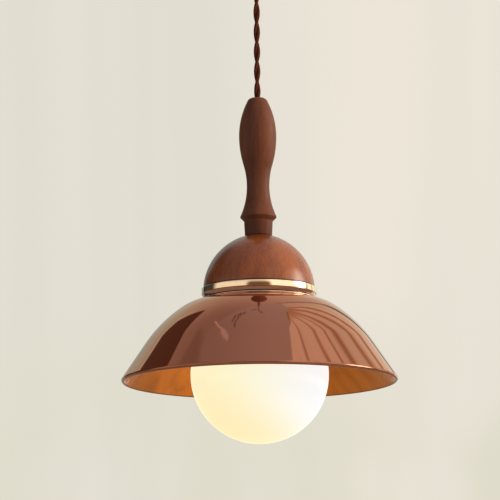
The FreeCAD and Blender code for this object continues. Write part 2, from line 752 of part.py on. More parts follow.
def make_stem():
    """Turned stem: round top, belly, waist, bead and tapered foot, bored for the cord."""
    body = make_body("stem", 0, 0, stem_top_z)
    foot_z = -dim.stem_length
    belly_z = foot_z * dim.belly_drop_share
    waist_z = foot_z * dim.waist_drop_share
    bead_z = foot_z + dim.bead_rise
    mouth = cord_bore_radius + dim.stem_mouth_round
    land_radius = mouth + dim.stem_top_land
    upper_arc = arc_through(dim.belly_radius - land_radius - dim.stem_top_round, -belly_z)
    both_arcs = arc_through(dim.belly_radius - dim.waist_radius, belly_z - waist_z)
    belly_arc = both_arcs * dim.belly_share
    waist_arc = both_arcs - belly_arc
    middle_radius = dim.belly_radius - (dim.belly_radius - dim.waist_radius) * dim.belly_share
    middle_z = belly_z + (waist_z - belly_z) * dim.belly_share
    edge_radius = dim.belly_radius - upper_arc + other_leg(upper_arc, dim.stem_top_round + belly_z)
    socket = dim.nipple_radius + dim.thread_gap
    outline = Outline(mouth, 0).line(land_radius, 0)
    outline.line(edge_radius, -dim.stem_top_round)
    outline.arc(dim.belly_radius, belly_z, dim.belly_radius - upper_arc, belly_z, clockwise=True)
    outline.arc(middle_radius, middle_z, dim.belly_radius - belly_arc, belly_z, clockwise=True)
    outline.arc(dim.waist_radius, waist_z, dim.waist_radius + waist_arc, waist_z)
    draw_bead(outline, waist_z, bead_z)
    outline.line(dim.foot_neck_radius, foot_z + dim.foot_neck_rise)
    outline.line(dim.foot_radius, foot_z).line(socket, foot_z)
    outline.line(socket, foot_z + dim.socket_depth).line(cord_bore_radius, foot_z + dim.socket_depth)
    outline.line(cord_bore_radius, -dim.stem_mouth_round)
    outline.arc(mouth, 0, mouth, -dim.stem_mouth_round, clockwise=True)
    revolve(body, "stem", outline)
    keep("stem", body)


def draw_bead(outline, waist_z, bead_z):
    """Flare from the waist into the bead's round edge, as far as the slope under the bead."""
    radius = dim.bead_round
    centre_r = dim.bead_radius - radius
    out = centre_r - dim.waist_radius
    fall = waist_z - bead_z
    flare_arc = arc_onto_bead(out, fall, radius)
    reach = radius / (flare_arc + radius)
    outline.arc(centre_r + (flare_arc - out) * reach, bead_z + fall * reach,
                dim.waist_radius + flare_arc, waist_z)
    outline.arc(centre_r + radius * cosine(dim.bead_under_angle),
                bead_z - radius * sine(dim.bead_under_angle), centre_r, bead_z, clockwise=True)


def make_dome():
    """Hollow turned dome with a flat seat for the stem and a step that sits in the collar."""
    body = make_body("dome", 0, 0, web_z)
    seat_z = stem_foot_z - web_z
    seat_radius = dim.foot_radius + dim.dome_seat_margin
    widest = dim.collar_radius - dim.dome_inset
    centre_z = dim.dome_widest_rise
    dome_arc = arc_through(widest - seat_radius, seat_z - centre_z)
    centre_r = widest - dome_arc
    ceiling_z = seat_z - dim.dome_wall
    step_z = dim.collar_rise + dim.rebate_gap
    step_radius = band_bore_radius - dim.shoulder_gap
    inner_arc = dome_arc - dim.dome_wall
    edge_radius = centre_r + other_leg(dome_arc, step_z - centre_z)
    ceiling_radius = centre_r + other_leg(inner_arc, ceiling_z - centre_z)
    inner_radius = centre_r + other_leg(inner_arc, centre_z)
    hole = dim.nipple_radius + dim.hole_gap
    outline = Outline(hole, ceiling_z).line(ceiling_radius, ceiling_z)
    outline.arc(inner_radius, 0, centre_r, centre_z, clockwise=True)
    outline.line(step_radius, 0).line(step_radius, step_z).line(edge_radius, step_z)
    outline.arc(seat_radius, seat_z, centre_r, centre_z)
    outline.line(hole, seat_z).close()
    revolve(body, "dome", outline)
    keep("dome", body)


def make_collar():
    """Metal pan: web under the dome, a band that curves in to a groove, and a bead over a short lip."""
    body = make_body("collar", 0, 0, web_z)
    hole = holder_radius + dim.hole_gap
    top = dim.collar_rise
    round_radius = dim.collar_radius - dim.collar_edge_round
    lip_z = -(dim.collar_web + dim.collar_lip_drop)
    lip_radius = dim.collar_radius - dim.collar_lip_inset
    lip_bore = lip_radius - dim.collar_lip_wall
    band_z = top - dim.collar_band_height
    groove_radius = dim.collar_radius - dim.collar_groove_inset
    turn_arc = arc_through(dim.collar_groove_inset, band_z - dim.collar_groove_rise)
    bead_z = dim.collar_groove_rise - dim.collar_groove_inset
    outline = Outline(hole, 0).line(hole, -dim.collar_web).line(lip_bore, -dim.collar_web)
    outline.line(lip_bore, lip_z).line(lip_radius, lip_z)
    outline.line(groove_radius, bead_z - dim.collar_groove_inset)
    outline.arc(groove_radius, dim.collar_groove_rise, groove_radius, bead_z)
    outline.arc(dim.collar_radius, band_z, dim.collar_radius - turn_arc, band_z)
    outline.line(dim.collar_radius, top - dim.collar_edge_round)
    outline.arc(round_radius, top, round_radius, top - dim.collar_edge_round)
    outline.line(band_bore_radius, top).line(band_bore_radius, 0).close()
    revolve(body, "pan", outline)
    keep("collar", body)


def make_gasket(label, top_z, height, radius):
    """Flat felt ring round the lampholder."""
    body = make_body(label, 0, 0, top_z)
    hole = holder_radius + dim.shade_hole_gap
    pad(body, "felt", "XY", height, Circle(radius), Circle(hole), down=True)
    keep(label, body)


def make_shade():
    """Blown glass: flat top, two tangent curves, a straight wall and a rounded rim."""
    body = make_body("shade", 0, 0, glass_z)
    glass = dim.glass_thickness
    hole = holder_radius + dim.shade_hole_gap
    first = dim.shoulder_radius
    rim_r = dim.shade_radius - glass / 2
    slope_sine = sine(dim.wall_angle)
    slope_cosine = cosine(dim.wall_angle)
    bend_sine = sine(dim.shoulder_angle)
    bend_cosine = cosine(dim.shoulder_angle)
    flat_r = dim.collar_radius - dim.shade_flat_inset
    wall_r = dim.shade_radius * dim.wall_start_share
    second = (wall_r - flat_r - first * bend_sine) / (slope_sine - bend_sine)
    second_r = flat_r + (first - second) * bend_sine
    second_z = -first + (first - second) * bend_cosine
    wall_z = second_z + second * slope_cosine
    length = (rim_r + glass / 2 * slope_sine - wall_r) / slope_cosine
    rim_z = wall_z - length * slope_sine - glass / 2 * slope_cosine
    inner_first = first - glass
    inner_second = second - glass
    outline = Outline(hole, 0).line(flat_r, 0)
    outline.arc(flat_r + first * bend_sine, first * bend_cosine - first, flat_r, -first, clockwise=True)
    outline.arc(wall_r, wall_z, second_r, second_z, clockwise=True)
    outline.line(rim_r + glass / 2 * slope_sine, rim_z + glass / 2 * slope_cosine)
    outline.arc(rim_r - glass / 2 * slope_sine, rim_z - glass / 2 * slope_cosine, rim_r, rim_z,
                clockwise=True)
    outline.line(second_r + inner_second * slope_sine, second_z + inner_second * slope_cosine)
    outline.arc(flat_r + inner_first * bend_sine, inner_first * bend_cosine - first,
                second_r, second_z)
    outline.arc(flat_r, -glass, flat_r, -first)
    outline.line(hole, -glass).close()
    revolve(body, "glass", outline)
    keep("shade", body)
    return glass_z + rim_z - glass / 2


def make_shade_ring():
    """Notched ring that screws up the skirt and clamps the glass."""
    body = make_body("shade_ring", 0, 0, ring_z)
    ring = (Circle(dim.ring_radius), Circle(ring_bore_radius))
    pad(body, "ring", "XY", dim.ring_height, *ring, down=True)
    doc.recompute()
    notch = pocket(body, "notch", "XY", dim.ring_height, Circle(dim.ring_notch_radius, dim.ring_radius, 0))
    repeat(body, notch, NOTCH_COUNT)
    keep("shade_ring", body)


def make_holder_skirt():
    """Lower half of the lampholder's case, with the shoulder that rests on the collar."""
    body = make_body("holder_skirt", 0, 0, web_z)
    ledge_z = skirt_rise - dim.ledge_height
    shoulder_radius = holder_radius + dim.holder_shoulder
    outline = Outline(holder_bore_radius, -skirt_drop).line(holder_radius, -skirt_drop)
    outline.line(holder_radius, 0).line(shoulder_radius, 0)
    outline.line(shoulder_radius, dim.holder_shoulder_height)
    outline.line(holder_radius, dim.holder_shoulder_height).line(holder_radius, skirt_rise)
    outline.line(ledge_radius, skirt_rise).line(ledge_radius, ledge_z)
    outline.line(holder_bore_radius, ledge_z).close()
    revolve(body, "skirt", outline)
    keep("holder_skirt", body)


def make_holder_cap():
    """Upper half of the case, rounded over to a threaded boss for the nipple."""
    body = make_body("holder_cap", 0, 0, skirt_top_z)
    top = cap_height
    centre_r = holder_radius - dim.cap_round
    centre_z = top - dim.cap_round
    roof_z = top - dim.holder_wall
    boss_z = top - dim.boss_height
    hole = dim.nipple_radius + dim.thread_gap
    outline = Outline(holder_bore_radius, 0).line(holder_radius, 0)
    outline.line(holder_radius, centre_z).arc(centre_r, top, centre_r, centre_z)
    outline.line(hole, top).line(hole, boss_z).line(dim.boss_radius, boss_z)
    outline.line(dim.boss_radius, roof_z).line(centre_r, roof_z)
    outline.arc(holder_bore_radius, centre_z, centre_r, centre_z, clockwise=True).close()
    revolve(body, "cap", outline)
    keep("holder_cap", body)


def make_holder_insert():
    """Ceramic core on the skirt's ledge, with the plunger's pocket and two screw posts."""
    body = make_body("holder_insert", 0, 0, skirt_top_z)
    radius = holder_bore_radius - dim.hole_gap
    pad(body, "core", "XY", dim.insert_height, Circle(radius))
    doc.recompute()
    top = dim.insert_height + dim.post_height
    posts = [Circle(dim.post_radius, 0, y) for y in (post_reach, -post_reach)]
    pad(body, "posts", "XY", top, *posts)
    doc.recompute()
    pocket_cut = pocket(body, "pocket", "XY", dim.pocket_depth, Circle(dim.pocket_radius))
    pocket_cut.Reversed = True
    doc.recompute()
    depth = dim.clamp_screw_length - dim.clamp_height + dim.thread_gap
    radius = dim.clamp_screw_radius + dim.thread_gap
    holes = [Circle(radius, 0, y) for y in (post_reach, -post_reach)]
    pocket(body, "screw_holes", "XY", depth, *holes, rise=top)
    keep("holder_insert", body)


def make_screw_shell():
    """Thin metal shell that the bulb's cap screws into."""
    body = make_body("screw_shell", 0, 0, skirt_top_z)
    bore = shell_radius - dim.shell_wall
    outline = Outline(dim.shell_hole_radius, 0).line(dim.shell_hole_radius, -dim.shell_flange)
    outline.line(bore, -dim.shell_flange).line(bore, -shell_length)
    outline.line(shell_radius, -shell_length).line(shell_radius, 0).close()
    revolve(body, "shell", outline)
    keep("screw_shell", body)


def make_plunger():
    """Sprung centre contact, which follows the bulb down by one turn of its thread."""
    tip_z = globe_z + tip_rise + dim.joint_gap
    flange_z = skirt_top_z + dim.thread_pitch + dim.joint_gap - tip_z
    flange_top = flange_z + dim.plunger_flange_height
    pin_top = flange_top + dim.plunger_pin_height
    body = make_body("centre_plunger", 0, 0, tip_z)
    outline = Outline(0, 0).line(dim.plunger_radius, 0).line(dim.plunger_radius, flange_z)
    outline.line(dim.plunger_flange_radius, flange_z).line(dim.plunger_flange_radius, flange_top)
    outline.line(dim.plunger_pin_radius, flange_top).line(dim.plunger_pin_radius, pin_top)
    revolve(body, "plunger", outline.line(0, pin_top).close())
    keep("centre_plunger", body)
    return tip_z + flange_top


def make_spring(base_z):
    """Coil spring between the plunger's flange and the pocket's end."""
    end_z = skirt_top_z + dim.pocket_depth
    room = end_z - base_z
    wire = dim.wire_radius.number
    height = (room - 2 * dim.wire_radius - 2 * dim.thread_gap).number
    radius = dim.spring_radius.number
    helix = Part.makeHelix(height / dim.spring_turns.number, height, radius)
    ring = Part.Circle(FreeCAD.Vector(radius, 0, 0), FreeCAD.Vector(0, 1, 0), wire)
    item = doc.addObject("Part::Feature", "plunger_spring")
    item.Shape = Part.Wire(helix.Edges).makePipeShell([Part.Wire([ring.toShape()])], True, True)
    start_z = (base_z + dim.wire_radius + dim.thread_gap).number
    item.Placement = FreeCAD.Placement(FreeCAD.Vector(0, 0, start_z), FreeCAD.Rotation())
    keep("plunger_spring", item)


def make_terminals():
    """Two brass terminals on the core, each with a screw."""
    reach = dim.terminal_reach
    body = make_body("terminal", reach, 0, insert_top_z)
    pad(body, "block", "XY", dim.terminal_height, rectangle(dim.terminal_side, dim.terminal_side))
    doc.recompute()
    hole = Circle(dim.terminal_screw_radius + dim.thread_gap)
    pocket(body, "hole", "XY", dim.terminal_height, hole, rise=dim.terminal_height)
    keep_mirrored("holder_terminals", [body], [FreeCAD.Vector(1, 0, 0)])
    screw = make_body("terminal_screw", reach, 0, insert_top_z + dim.terminal_height)
    outline = Outline(0, dim.terminal_head_height)
    outline.line(dim.terminal_head_radius, dim.terminal_head_height).line(dim.terminal_head_radius, 0)
    outline.line(dim.terminal_screw_radius, 0).line(dim.terminal_screw_radius, -dim.terminal_height)
    revolve(screw, "screw", outline.line(0, -dim.terminal_height).close())
    keep_mirrored("terminal_screws", [screw], [FreeCAD.Vector(1, 0, 0)])


def make_clamp():
    """Saddle that grips the cord's end, and its two screws down into the core's posts."""
    body = make_body("cord_clamp", 0, 0, clamp_z)
    hole = dim.clamp_screw_radius + dim.hole_gap
    ends = [Circle(dim.post_radius, 0, y) for y in (post_reach, -post_reach)]
    half = dim.post_radius
    arm = rectangle(2 * half, 2 * post_reach)
    pad(body, "arm", "XY", dim.clamp_height, arm)
    doc.recompute()
    pad(body, "ends", "XY", dim.clamp_height, *ends)
    doc.recompute()
    pad(body, "ring", "XY", dim.clamp_height, Circle(dim.clamp_radius))
    doc.recompute()
    cuts = [Circle(hole, 0, y) for y in (post_reach, -post_reach)]
    cuts.append(Circle(dim.cord_radius + dim.thread_gap))
    pocket(body, "holes", "XY", dim.clamp_height, *cuts, rise=dim.clamp_height)
    keep("cord_clamp", body)
    screw = make_body("clamp_screw", 0, post_reach, clamp_z + dim.clamp_height)
    outline = Outline(0, dim.clamp_head_height).line(dim.clamp_head_radius, dim.clamp_head_height)
    outline.line(dim.clamp_head_radius, 0).line(dim.clamp_screw_radius, 0)
    outline.line(dim.clamp_screw_radius, -dim.clamp_screw_length).line(0, -dim.clamp_screw_length)
    revolve(screw, "screw", outline.close())
    keep_mirrored("clamp_screws", [screw], [FreeCAD.Vector(0, 1, 0)])


def make_nipple():
    """Threaded tube from the lampholder's boss through the dome into the stem."""
    base_z = cap_top_z - dim.boss_height
    body = make_body("nipple", 0, 0, base_z)
    length = stem_foot_z + dim.socket_depth - dim.nipple_end_gap - base_z
    pad(body, "tube", "XY", length, Circle(dim.nipple_radius), Circle(dim.nipple_bore_radius))
    keep("nipple", body)


def make_bulb():
    """Globe bulb: opal glass, plastic neck, light board, threaded cap, insulator and tip."""
    wall = dim.globe_wall
    neck = glass_neck_radius
    inner_neck = neck - wall
    inner_globe = dim.globe_radius - wall
    rise = glass_neck_rise
    radius = dim.bulb_cap_radius
    bore = radius - dim.bulb_cap_wall
    glass = make_body("bulb_globe", 0, 0, globe_z)
    outline = Outline(0, -dim.globe_radius)
    outline.arc(neck, other_leg(dim.globe_radius, neck), 0, 0).line(neck, rise)
    outline.line(inner_neck, rise).line(inner_neck, other_leg(inner_globe, inner_neck))
    outline.arc(0, -inner_globe, 0, 0, clockwise=True).close()
    revolve(glass, "globe", outline)
    keep("bulb_globe", glass)

    housing = make_body("bulb_neck", 0, 0, globe_z)
    plate_z = rise + dim.hole_gap
    cap_base = housing_top_rise
    spigot_radius = bore - dim.spigot_gap
    spigot_z = cap_base + dim.housing_spigot_height
    neck_bore = neck + dim.hole_gap
    outline = Outline(neck_bore, plate_z).line(neck_bore, rise - dim.housing_drop)
    outline.line(housing_radius, rise - dim.housing_drop).line(housing_radius, cap_base)
    outline.line(spigot_radius, cap_base).line(spigot_radius, spigot_z)
    outline.line(0, spigot_z).line(0, plate_z).close()
    revolve(housing, "housing", outline)
    keep("bulb_neck", housing)

    board = make_body("led_board", 0, 0, globe_z + plate_z)
    pad(board, "board", "XY", dim.board_height, Circle(inner_neck - dim.board_gap), down=True)
    doc.recompute()
    emitter_top = dim.board_height + dim.emitter_height
    side = dim.emitter_side
    emitter = pad(board, "emitter", "XY", emitter_top, rectangle(side, side, dim.emitter_reach), down=True)
    repeat(board, emitter, EMITTER_COUNT)
    keep("led_board", board)

    cap = make_body("bulb_cap", 0, 0, globe_z + cap_base)
    straight = dim.bulb_cap_length
    end_z = straight + dim.bulb_cap_taper
    mouth = dim.bulb_cap_mouth_radius
    outline = Outline(bore, 0).line(radius, 0).line(radius, straight).line(mouth, end_z)
    outline.line(mouth - dim.bulb_cap_wall, end_z).line(mouth - dim.bulb_cap_wall, straight)
    revolve(cap, "shell", outline.line(bore, straight).close())
    keep("bulb_cap", cap)

    insulator = make_body("bulb_insulator", 0, 0, globe_z + cap_end_rise)
    top = dim.insulator_height
    outline = Outline(0, 0).line(mouth, 0).line(dim.insulator_top_radius, top).line(0, top).close()
    revolve(insulator, "cone", outline)
    keep("bulb_insulator", insulator)

    tip = make_body("bulb_tip", 0, 0, globe_z + cap_end_rise + top)
    pad(tip, "contact", "XY", dim.tip_height, Circle(dim.tip_radius))
    keep("bulb_tip", tip)


def make_ceiling_fitting():
    """Everything that stays on the ceiling."""
    make_canopy()
    make_bracket()
    make_canopy_screws()
    make_terminal_block()
    make_block_screws()
    make_gland()
    make_nut("gland_nut", canopy_floor_z, dim.gland_nut_flats, dim.gland_nut_height, dim.gland_thread_radius)
    make_gland_screws()
    tail_z = canopy_floor_z + dim.gland_thread_rise + dim.cord_tail
    make_cord("ceiling_cord", tail_z, mouth_z + dim.cord_radius + dim.joint_gap)
    make_ceiling_leads(tail_z)


def make_lamp():
    """Everything that hangs on the cord, but for the bulb and the moving contact."""
    make_stem()
    make_dome()
    make_collar()
    make_gasket("upper_gasket", web_under_z, dim.upper_gasket_height, dim.upper_gasket_radius)
    rim_z = make_shade()
    make_gasket("lower_gasket", glass_under_z, dim.lower_gasket_height, dim.lower_gasket_radius)
    make_shade_ring()
    make_holder_skirt()
    make_holder_cap()
    make_holder_insert()
    make_screw_shell()
    make_terminals()
    make_clamp()
    make_nipple()
    make_washer()
    make_nut("nipple_nut", nut_z, dim.nipple_nut_flats, dim.nipple_nut_height, dim.nipple_radius)
    make_cord("stem_cord", stem_top_z - dim.cord_radius - dim.joint_gap, clamp_z)
    make_lamp_leads(clamp_z)
    return rim_z


def check_parts():
    """Stop if any object failed or any sub-part is empty or broken."""
    doc.recompute()
    for item in doc.Objects:
        bad = [state for state in item.State if state in ("Invalid", "Error")]
        if bad:
            raise RuntimeError(f"{item.Name} is {bad}")
    for label, item in parts.items():
        if item.Shape.isNull() or not item.Shape.isValid() or item.Shape.Volume <= 0:
            raise RuntimeError(f"{label} has no sound shape")


def write_parts():
    os.makedirs("parts", exist_ok=True)
    for label, item in parts.items():
        item.Shape.exportStep(f"parts/{label}.step")
        box = item.Shape.BoundBox
        print(f"{label}: volume {item.Shape.Volume:.1f}, z {box.ZMin:.2f} to {box.ZMax:.2f}")


make_ceiling_fitting()
make_cord("hanging_cord", mouth_z, stem_top_z, round_ends=True)
rim_level = make_lamp()
make_spring(make_plunger())
make_bulb()
check_parts()
write_parts()
for title, level in (("gland mouth", mouth_z), ("stem top", stem_top_z), ("dome seat", stem_foot_z),
                     ("collar web", web_z), ("glass top", glass_z), ("shade rim", rim_level),
                     ("globe middle", globe_z), ("pocket end", skirt_top_z + dim.pocket_depth)):
    print(f"{title} at z {level.number:.3f}")
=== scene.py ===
"""A pendant light: twisted cord, wooden stem and dome, metal collar, glass shade, globe bulb."""

import logging
import math
from collections.abc import Callable
from dataclasses import dataclass
from enum import Enum
from typing import Optional, Union

import bmesh
import bpy
from mathutils import Euler, Matrix, Vector


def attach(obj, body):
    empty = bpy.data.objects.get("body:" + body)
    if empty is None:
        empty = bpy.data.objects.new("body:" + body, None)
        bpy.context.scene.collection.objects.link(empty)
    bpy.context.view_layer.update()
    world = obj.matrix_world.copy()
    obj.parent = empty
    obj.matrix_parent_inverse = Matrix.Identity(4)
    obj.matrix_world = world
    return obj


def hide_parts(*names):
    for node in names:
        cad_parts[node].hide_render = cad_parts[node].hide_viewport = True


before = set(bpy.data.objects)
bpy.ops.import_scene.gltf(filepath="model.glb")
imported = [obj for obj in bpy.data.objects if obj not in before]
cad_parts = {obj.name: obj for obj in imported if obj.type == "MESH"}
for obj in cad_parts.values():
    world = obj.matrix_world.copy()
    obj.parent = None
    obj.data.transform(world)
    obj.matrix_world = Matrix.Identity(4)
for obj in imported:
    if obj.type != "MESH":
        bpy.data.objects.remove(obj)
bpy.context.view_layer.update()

LOG = logging.getLogger("pendant")
MM = 0.001
FULL_TURN = 2 * math.pi
TINY = 1e-6
HELIX = "helical bar"
RIBS = "ring of ribs"
COPIES = "copies on points"
TURN = "turn"

Point = tuple[float, float]
Place = tuple[float, float, float]
Colour = tuple[float, float, float]


def tone(red: float, green: float, blue: float) -> Colour:
    """Turn a screen colour into the linear colour that shaders use.

    Args:
        red: the red channel, from 0 to 255.
        green: the green channel.
        blue: the blue channel.

    Returns:
        The linear colour.
    """
    def linear(value: float) -> float:
        """One channel."""
        share = value / 255
        return share / 12.92 if share <= 0.04045 else ((share + 0.055) / 1.055) ** 2.4
    return linear(red), linear(green), linear(blue)


class Body(str, Enum):
    """The moving groups of the light."""

    CEILING = "ceiling_fitting"
    CORD = "cord"
    LAMP = "lamp"
    BULB = "bulb"


class Drive(Enum):
    """The cuts in a screw's head: length, width and depth as shares of its radius and height."""

    SLOT = ((2.4, 0.28, 1.0),)
    CROSS = ((1.25, 0.3, 1.3), (0.3, 1.25, 1.3))


def by_node(operation: str) -> Callable[["Port", "Value"], "Port"]:
    """Make an operator.

    Args:
        operation: the Math node's operation.

    Returns:
        A method that joins two values by that node.
    """
    def join(first: "Port", second: "Value") -> "Port":
        """Add the node."""
        return first.math(operation, second)
    return join


class Port:
    """A value in a node tree, on which Python's operators add Math nodes."""

    __add__ = __radd__ = by_node("ADD")
    __mul__ = __rmul__ = by_node("MULTIPLY")
    __sub__ = by_node("SUBTRACT")
    __truediv__ = by_node("DIVIDE")
    __gt__ = by_node("GREATER_THAN")
    __lt__ = by_node("LESS_THAN")

    def __init__(self, graph: "Graph", socket: bpy.types.NodeSocket) -> None:
        """Keep the socket and its graph."""
        self.graph = graph
        self.socket = socket

    def math(self, operation: str, *others: "Value") -> "Port":
        """Add one Math node that starts with this value."""
        return self.graph.node("ShaderNodeMath", {"operation": operation}, [self, *others])

    def __rsub__(self, other: float) -> "Port":
        """Reflected difference."""
        return self * -1.0 + other

    def absolute(self) -> "Port":
        """This value without its sign."""
        return self.math("ABSOLUTE")

    def at_least(self, other: "Value") -> "Port":
        """The larger of two values."""
        return self.math("MAXIMUM", other)

    def at_most(self, other: "Value") -> "Port":
        """The smaller of two values."""
        return self.math("MINIMUM", other)

    def clamped(self) -> "Port":
        """This value held between 0 and 1."""
        return self.at_most(1.0).at_least(0.0)

    def ramp(self, low: float, high: float) -> "Port":
        """Smooth step from 0 at low to 1 at high."""
        return self.graph.node("ShaderNodeMapRange", {"interpolation_type": "SMOOTHSTEP"},
                               {"Value": self, "From Min": low, "From Max": high})


Value = Union[Port, float]
Inputs = dict[str, Union[Port, float, tuple]]


class Graph:
    """A node tree under construction."""

    def __init__(self, tree: bpy.types.NodeTree) -> None:
        """Keep the tree."""
        self.tree = tree

    def node(self, kind: str, settings: Optional[dict] = None,
             inputs: Union[list, dict, None] = None, output: Union[int, str] = 0) -> Port:
        """Add a node.

        Args:
            kind: the node's type.
            settings: its properties, which are set first.
            inputs: numbers, colours or ports, by position or by name.
            output: which of its outputs to give back.

        Returns:
            The chosen output, or the first input of a node that ends a tree.
        """
        node = self.tree.nodes.new(kind)
        for name, value in (settings or {}).items():
            setattr(node, name, value)
        pairs = enumerate(inputs) if isinstance(inputs, list) else (inputs or {}).items()
        for key, value in pairs:
            self._feed(node.inputs[key], value)
        return Port(self, node.outputs[output] if len(node.outputs) else node.inputs[0])

    def _feed(self, socket: bpy.types.NodeSocket, value: Union[Port, float, tuple]) -> None:
        """Fill a socket.

        Args:
            socket: the node's input.
            value: a port to link, or a number or colour to write.
        """
        if isinstance(value, Port):
            self.tree.links.new(value.socket, socket)
        elif isinstance(value, tuple) and socket.type == "RGBA":
            socket.default_value = (*value, 1.0)
        else:
            socket.default_value = value

    def output(self, port: Port, name: str) -> Port:
        """Another output of the node that a port belongs to."""
        return Port(self, port.socket.node.outputs[name])

    def mix(self, factor: Value, first: Union[Port, Colour], second: Union[Port, Colour]) -> Port:
        """Blend two colours."""
        sockets = {0: factor, 6: first, 7: second}
        return self.node("ShaderNodeMix", {"data_type": "RGBA"}, sockets, 2)

    def point(self, x: Value, y: Value, z: Value) -> Port:
        """A vector made of three values."""
        return self.node("ShaderNodeCombineXYZ", {}, [x, y, z])

    def split(self, vector: Port) -> tuple[Port, Port, Port]:
        """The three parts of a vector."""
        first = self.node("ShaderNodeSeparateXYZ", {}, [vector])
        return first, self.output(first, "Y"), self.output(first, "Z")

    def scaled(self, vector: Port, scale: Place, shift: Place = (0.0, 0.0, 0.0)) -> Port:
        """A vector scaled and moved."""
        return self.node("ShaderNodeMapping", {},
                         {"Vector": vector, "Scale": scale, "Location": shift})

    def place(self, scale: Place = (1.0, 1.0, 1.0), shift: Place = (0.0, 0.0, 0.0)) -> Port:
        """Object coordinates in metres, scaled and moved."""
        return self.scaled(self.node("ShaderNodeTexCoord", output="Object"), scale, shift)

    def noise(self, where: Port, scale: float, detail: float = 3.0, roughness: float = 0.5,
              distortion: float = 0.0) -> Port:
        """Cloudy noise around 0.5.

        Args:
            where: the vector that it reads.
            scale: how fine it is.
            detail: how many finer layers it has.
            roughness: how strong those are.
            distortion: how far it is bent.

        Returns:
            The noise's value.
        """
        return self.node("ShaderNodeTexNoise", {}, {
            "Vector": where, "Scale": scale, "Detail": detail, "Roughness": roughness,
            "Distortion": distortion})

    def bump(self, height: Port, distance: float, strength: float = 1.0) -> Port:
        """A normal that rises and falls with height."""
        return self.node("ShaderNodeBump", {}, {
            "Height": height, "Distance": distance, "Strength": strength})


class Finish:
    """A material made once and shared by the pieces that have it."""

    name: str

    def shade(self, graph: Graph) -> Inputs:
        """Give the shader's inputs."""
        raise NotImplementedError

    def material(self) -> bpy.types.Material:
        """Make the material, or find it if another piece has it.

        Returns:
            The material.
        """
        found = bpy.data.materials.get(self.name)
        if found:
            return found
        material = bpy.data.materials.new(self.name)
        material.use_nodes = True
        tree = material.node_tree
        tree.nodes.clear()
        graph = Graph(tree)
        surface = graph.node("ShaderNodeBsdfPrincipled", {}, self.shade(graph))
        graph.node("ShaderNodeOutputMaterial", {}, {"Surface": surface})
        return material


@dataclass(frozen=True)
class Walnut(Finish):
    """Dark oiled wood with its grain along the turning axis.

    Each layer of the grain is a noise: how much it is squeezed along the axis, its scale, its
    detail, its roughness and its distortion.
    """

    name: str
    light: Colour
    dark: Colour
    shift: Place
    roughness: float = 0.55
    gloss: float = 0.25
    fleck: float = 0.3
    # Painted shade: the height of the seam where the wood meets another part, how strong the shade
    # is on the stem's foot under its bead, and the height of the dome's crown, shaded round the
    # stem.
    seam: float = 0.0
    foot: float = 0.0
    crown: float = 1.0
    seam_shade_width: tuple[float, float] = (0.0011, 0.0005)
    foot_shade_span: tuple[float, float] = (0.0135, 0.0115)
    crown_shade_depth: float = 0.008
    pore: Colour = tone(52, 24, 15)
    gilt: Colour = tone(190, 118, 66)
    rings: tuple[float, ...] = (0.1, 48.0, 2.0, 0.5, 0.6)
    streaks: tuple[float, ...] = (0.1, 420.0, 3.0, 0.6)
    fibres: tuple[float, ...] = (0.04, 1100.0, 3.0, 0.6)
    pores: tuple[float, ...] = (0.06, 1500.0, 1.0, 0.4)
    flecks: tuple[float, ...] = (0.13, 1000.0, 1.0, 0.4)

    def layer(self, graph: Graph, along: float, *settings: float) -> Port:
        """One noise of the grain."""
        return graph.noise(graph.place((1.0, 1.0, along), self.shift), *settings)

    def edges(self, height: Port) -> Port:
        """Paint shade where the wood meets other parts: at its seam, on its foot under the bead
        and round its crown under the stem.

        Args:
            height: the height on the piece.

        Returns:
            How much painted shade it has there.
        """
        high, low = self.foot_shade_span
        seam = (height - self.seam).absolute().ramp(*self.seam_shade_width) * 0.9
        foot = height.ramp(self.seam + high, self.seam + low) * self.foot
        crown = height.ramp(self.crown - self.crown_shade_depth, self.crown) * 0.5
        return seam.at_least(foot).at_least(crown)

    def shade(self, graph: Graph) -> Inputs:
        """Lay fine streaks over broad bands, then golden flecks with a painted sheen, dark pores
        and painted shade at the joints.

        Args:
            graph: the material's graph.

        Returns:
            The shader's inputs.
        """
        fibres = self.layer(graph, *self.fibres)
        pore_mask = self.layer(graph, *self.pores).ramp(0.66, 0.78)
        band = (self.layer(graph, *self.rings).ramp(0.3, 0.7) * 0.4
                + self.layer(graph, *self.streaks) * 0.75 + fibres * 0.35 - 0.3).clamped()
        across, _, height = graph.split(graph.place())
        # The flecks are real grain, but they show only to the right and low down, where the key
        # light falls: a painted sheen.
        lit = (across * 12.0 - height - 0.3).clamped() * 0.6 + 0.15
        golden = self.layer(graph, *self.flecks).ramp(0.6, 0.8) * lit * self.fleck
        wood = graph.mix(golden, graph.mix(band, self.dark, self.light), self.gilt)
        # Pores are real grain; the seam, the foot and the crown get painted shade in the pore
        # colour.
        pores_and_painted_shade = (pore_mask * 0.7).at_least(self.edges(height))
        return {
            "Base Color": graph.mix(pores_and_painted_shade, wood, self.pore),
            "Roughness": fibres * 0.16 + (self.roughness - 0.08) + pore_mask * 0.12,
            "Normal": graph.bump(fibres * 0.4 - pore_mask * 0.6, 0.0001, 0.5),
            "Specular IOR Level": self.gloss,
        }


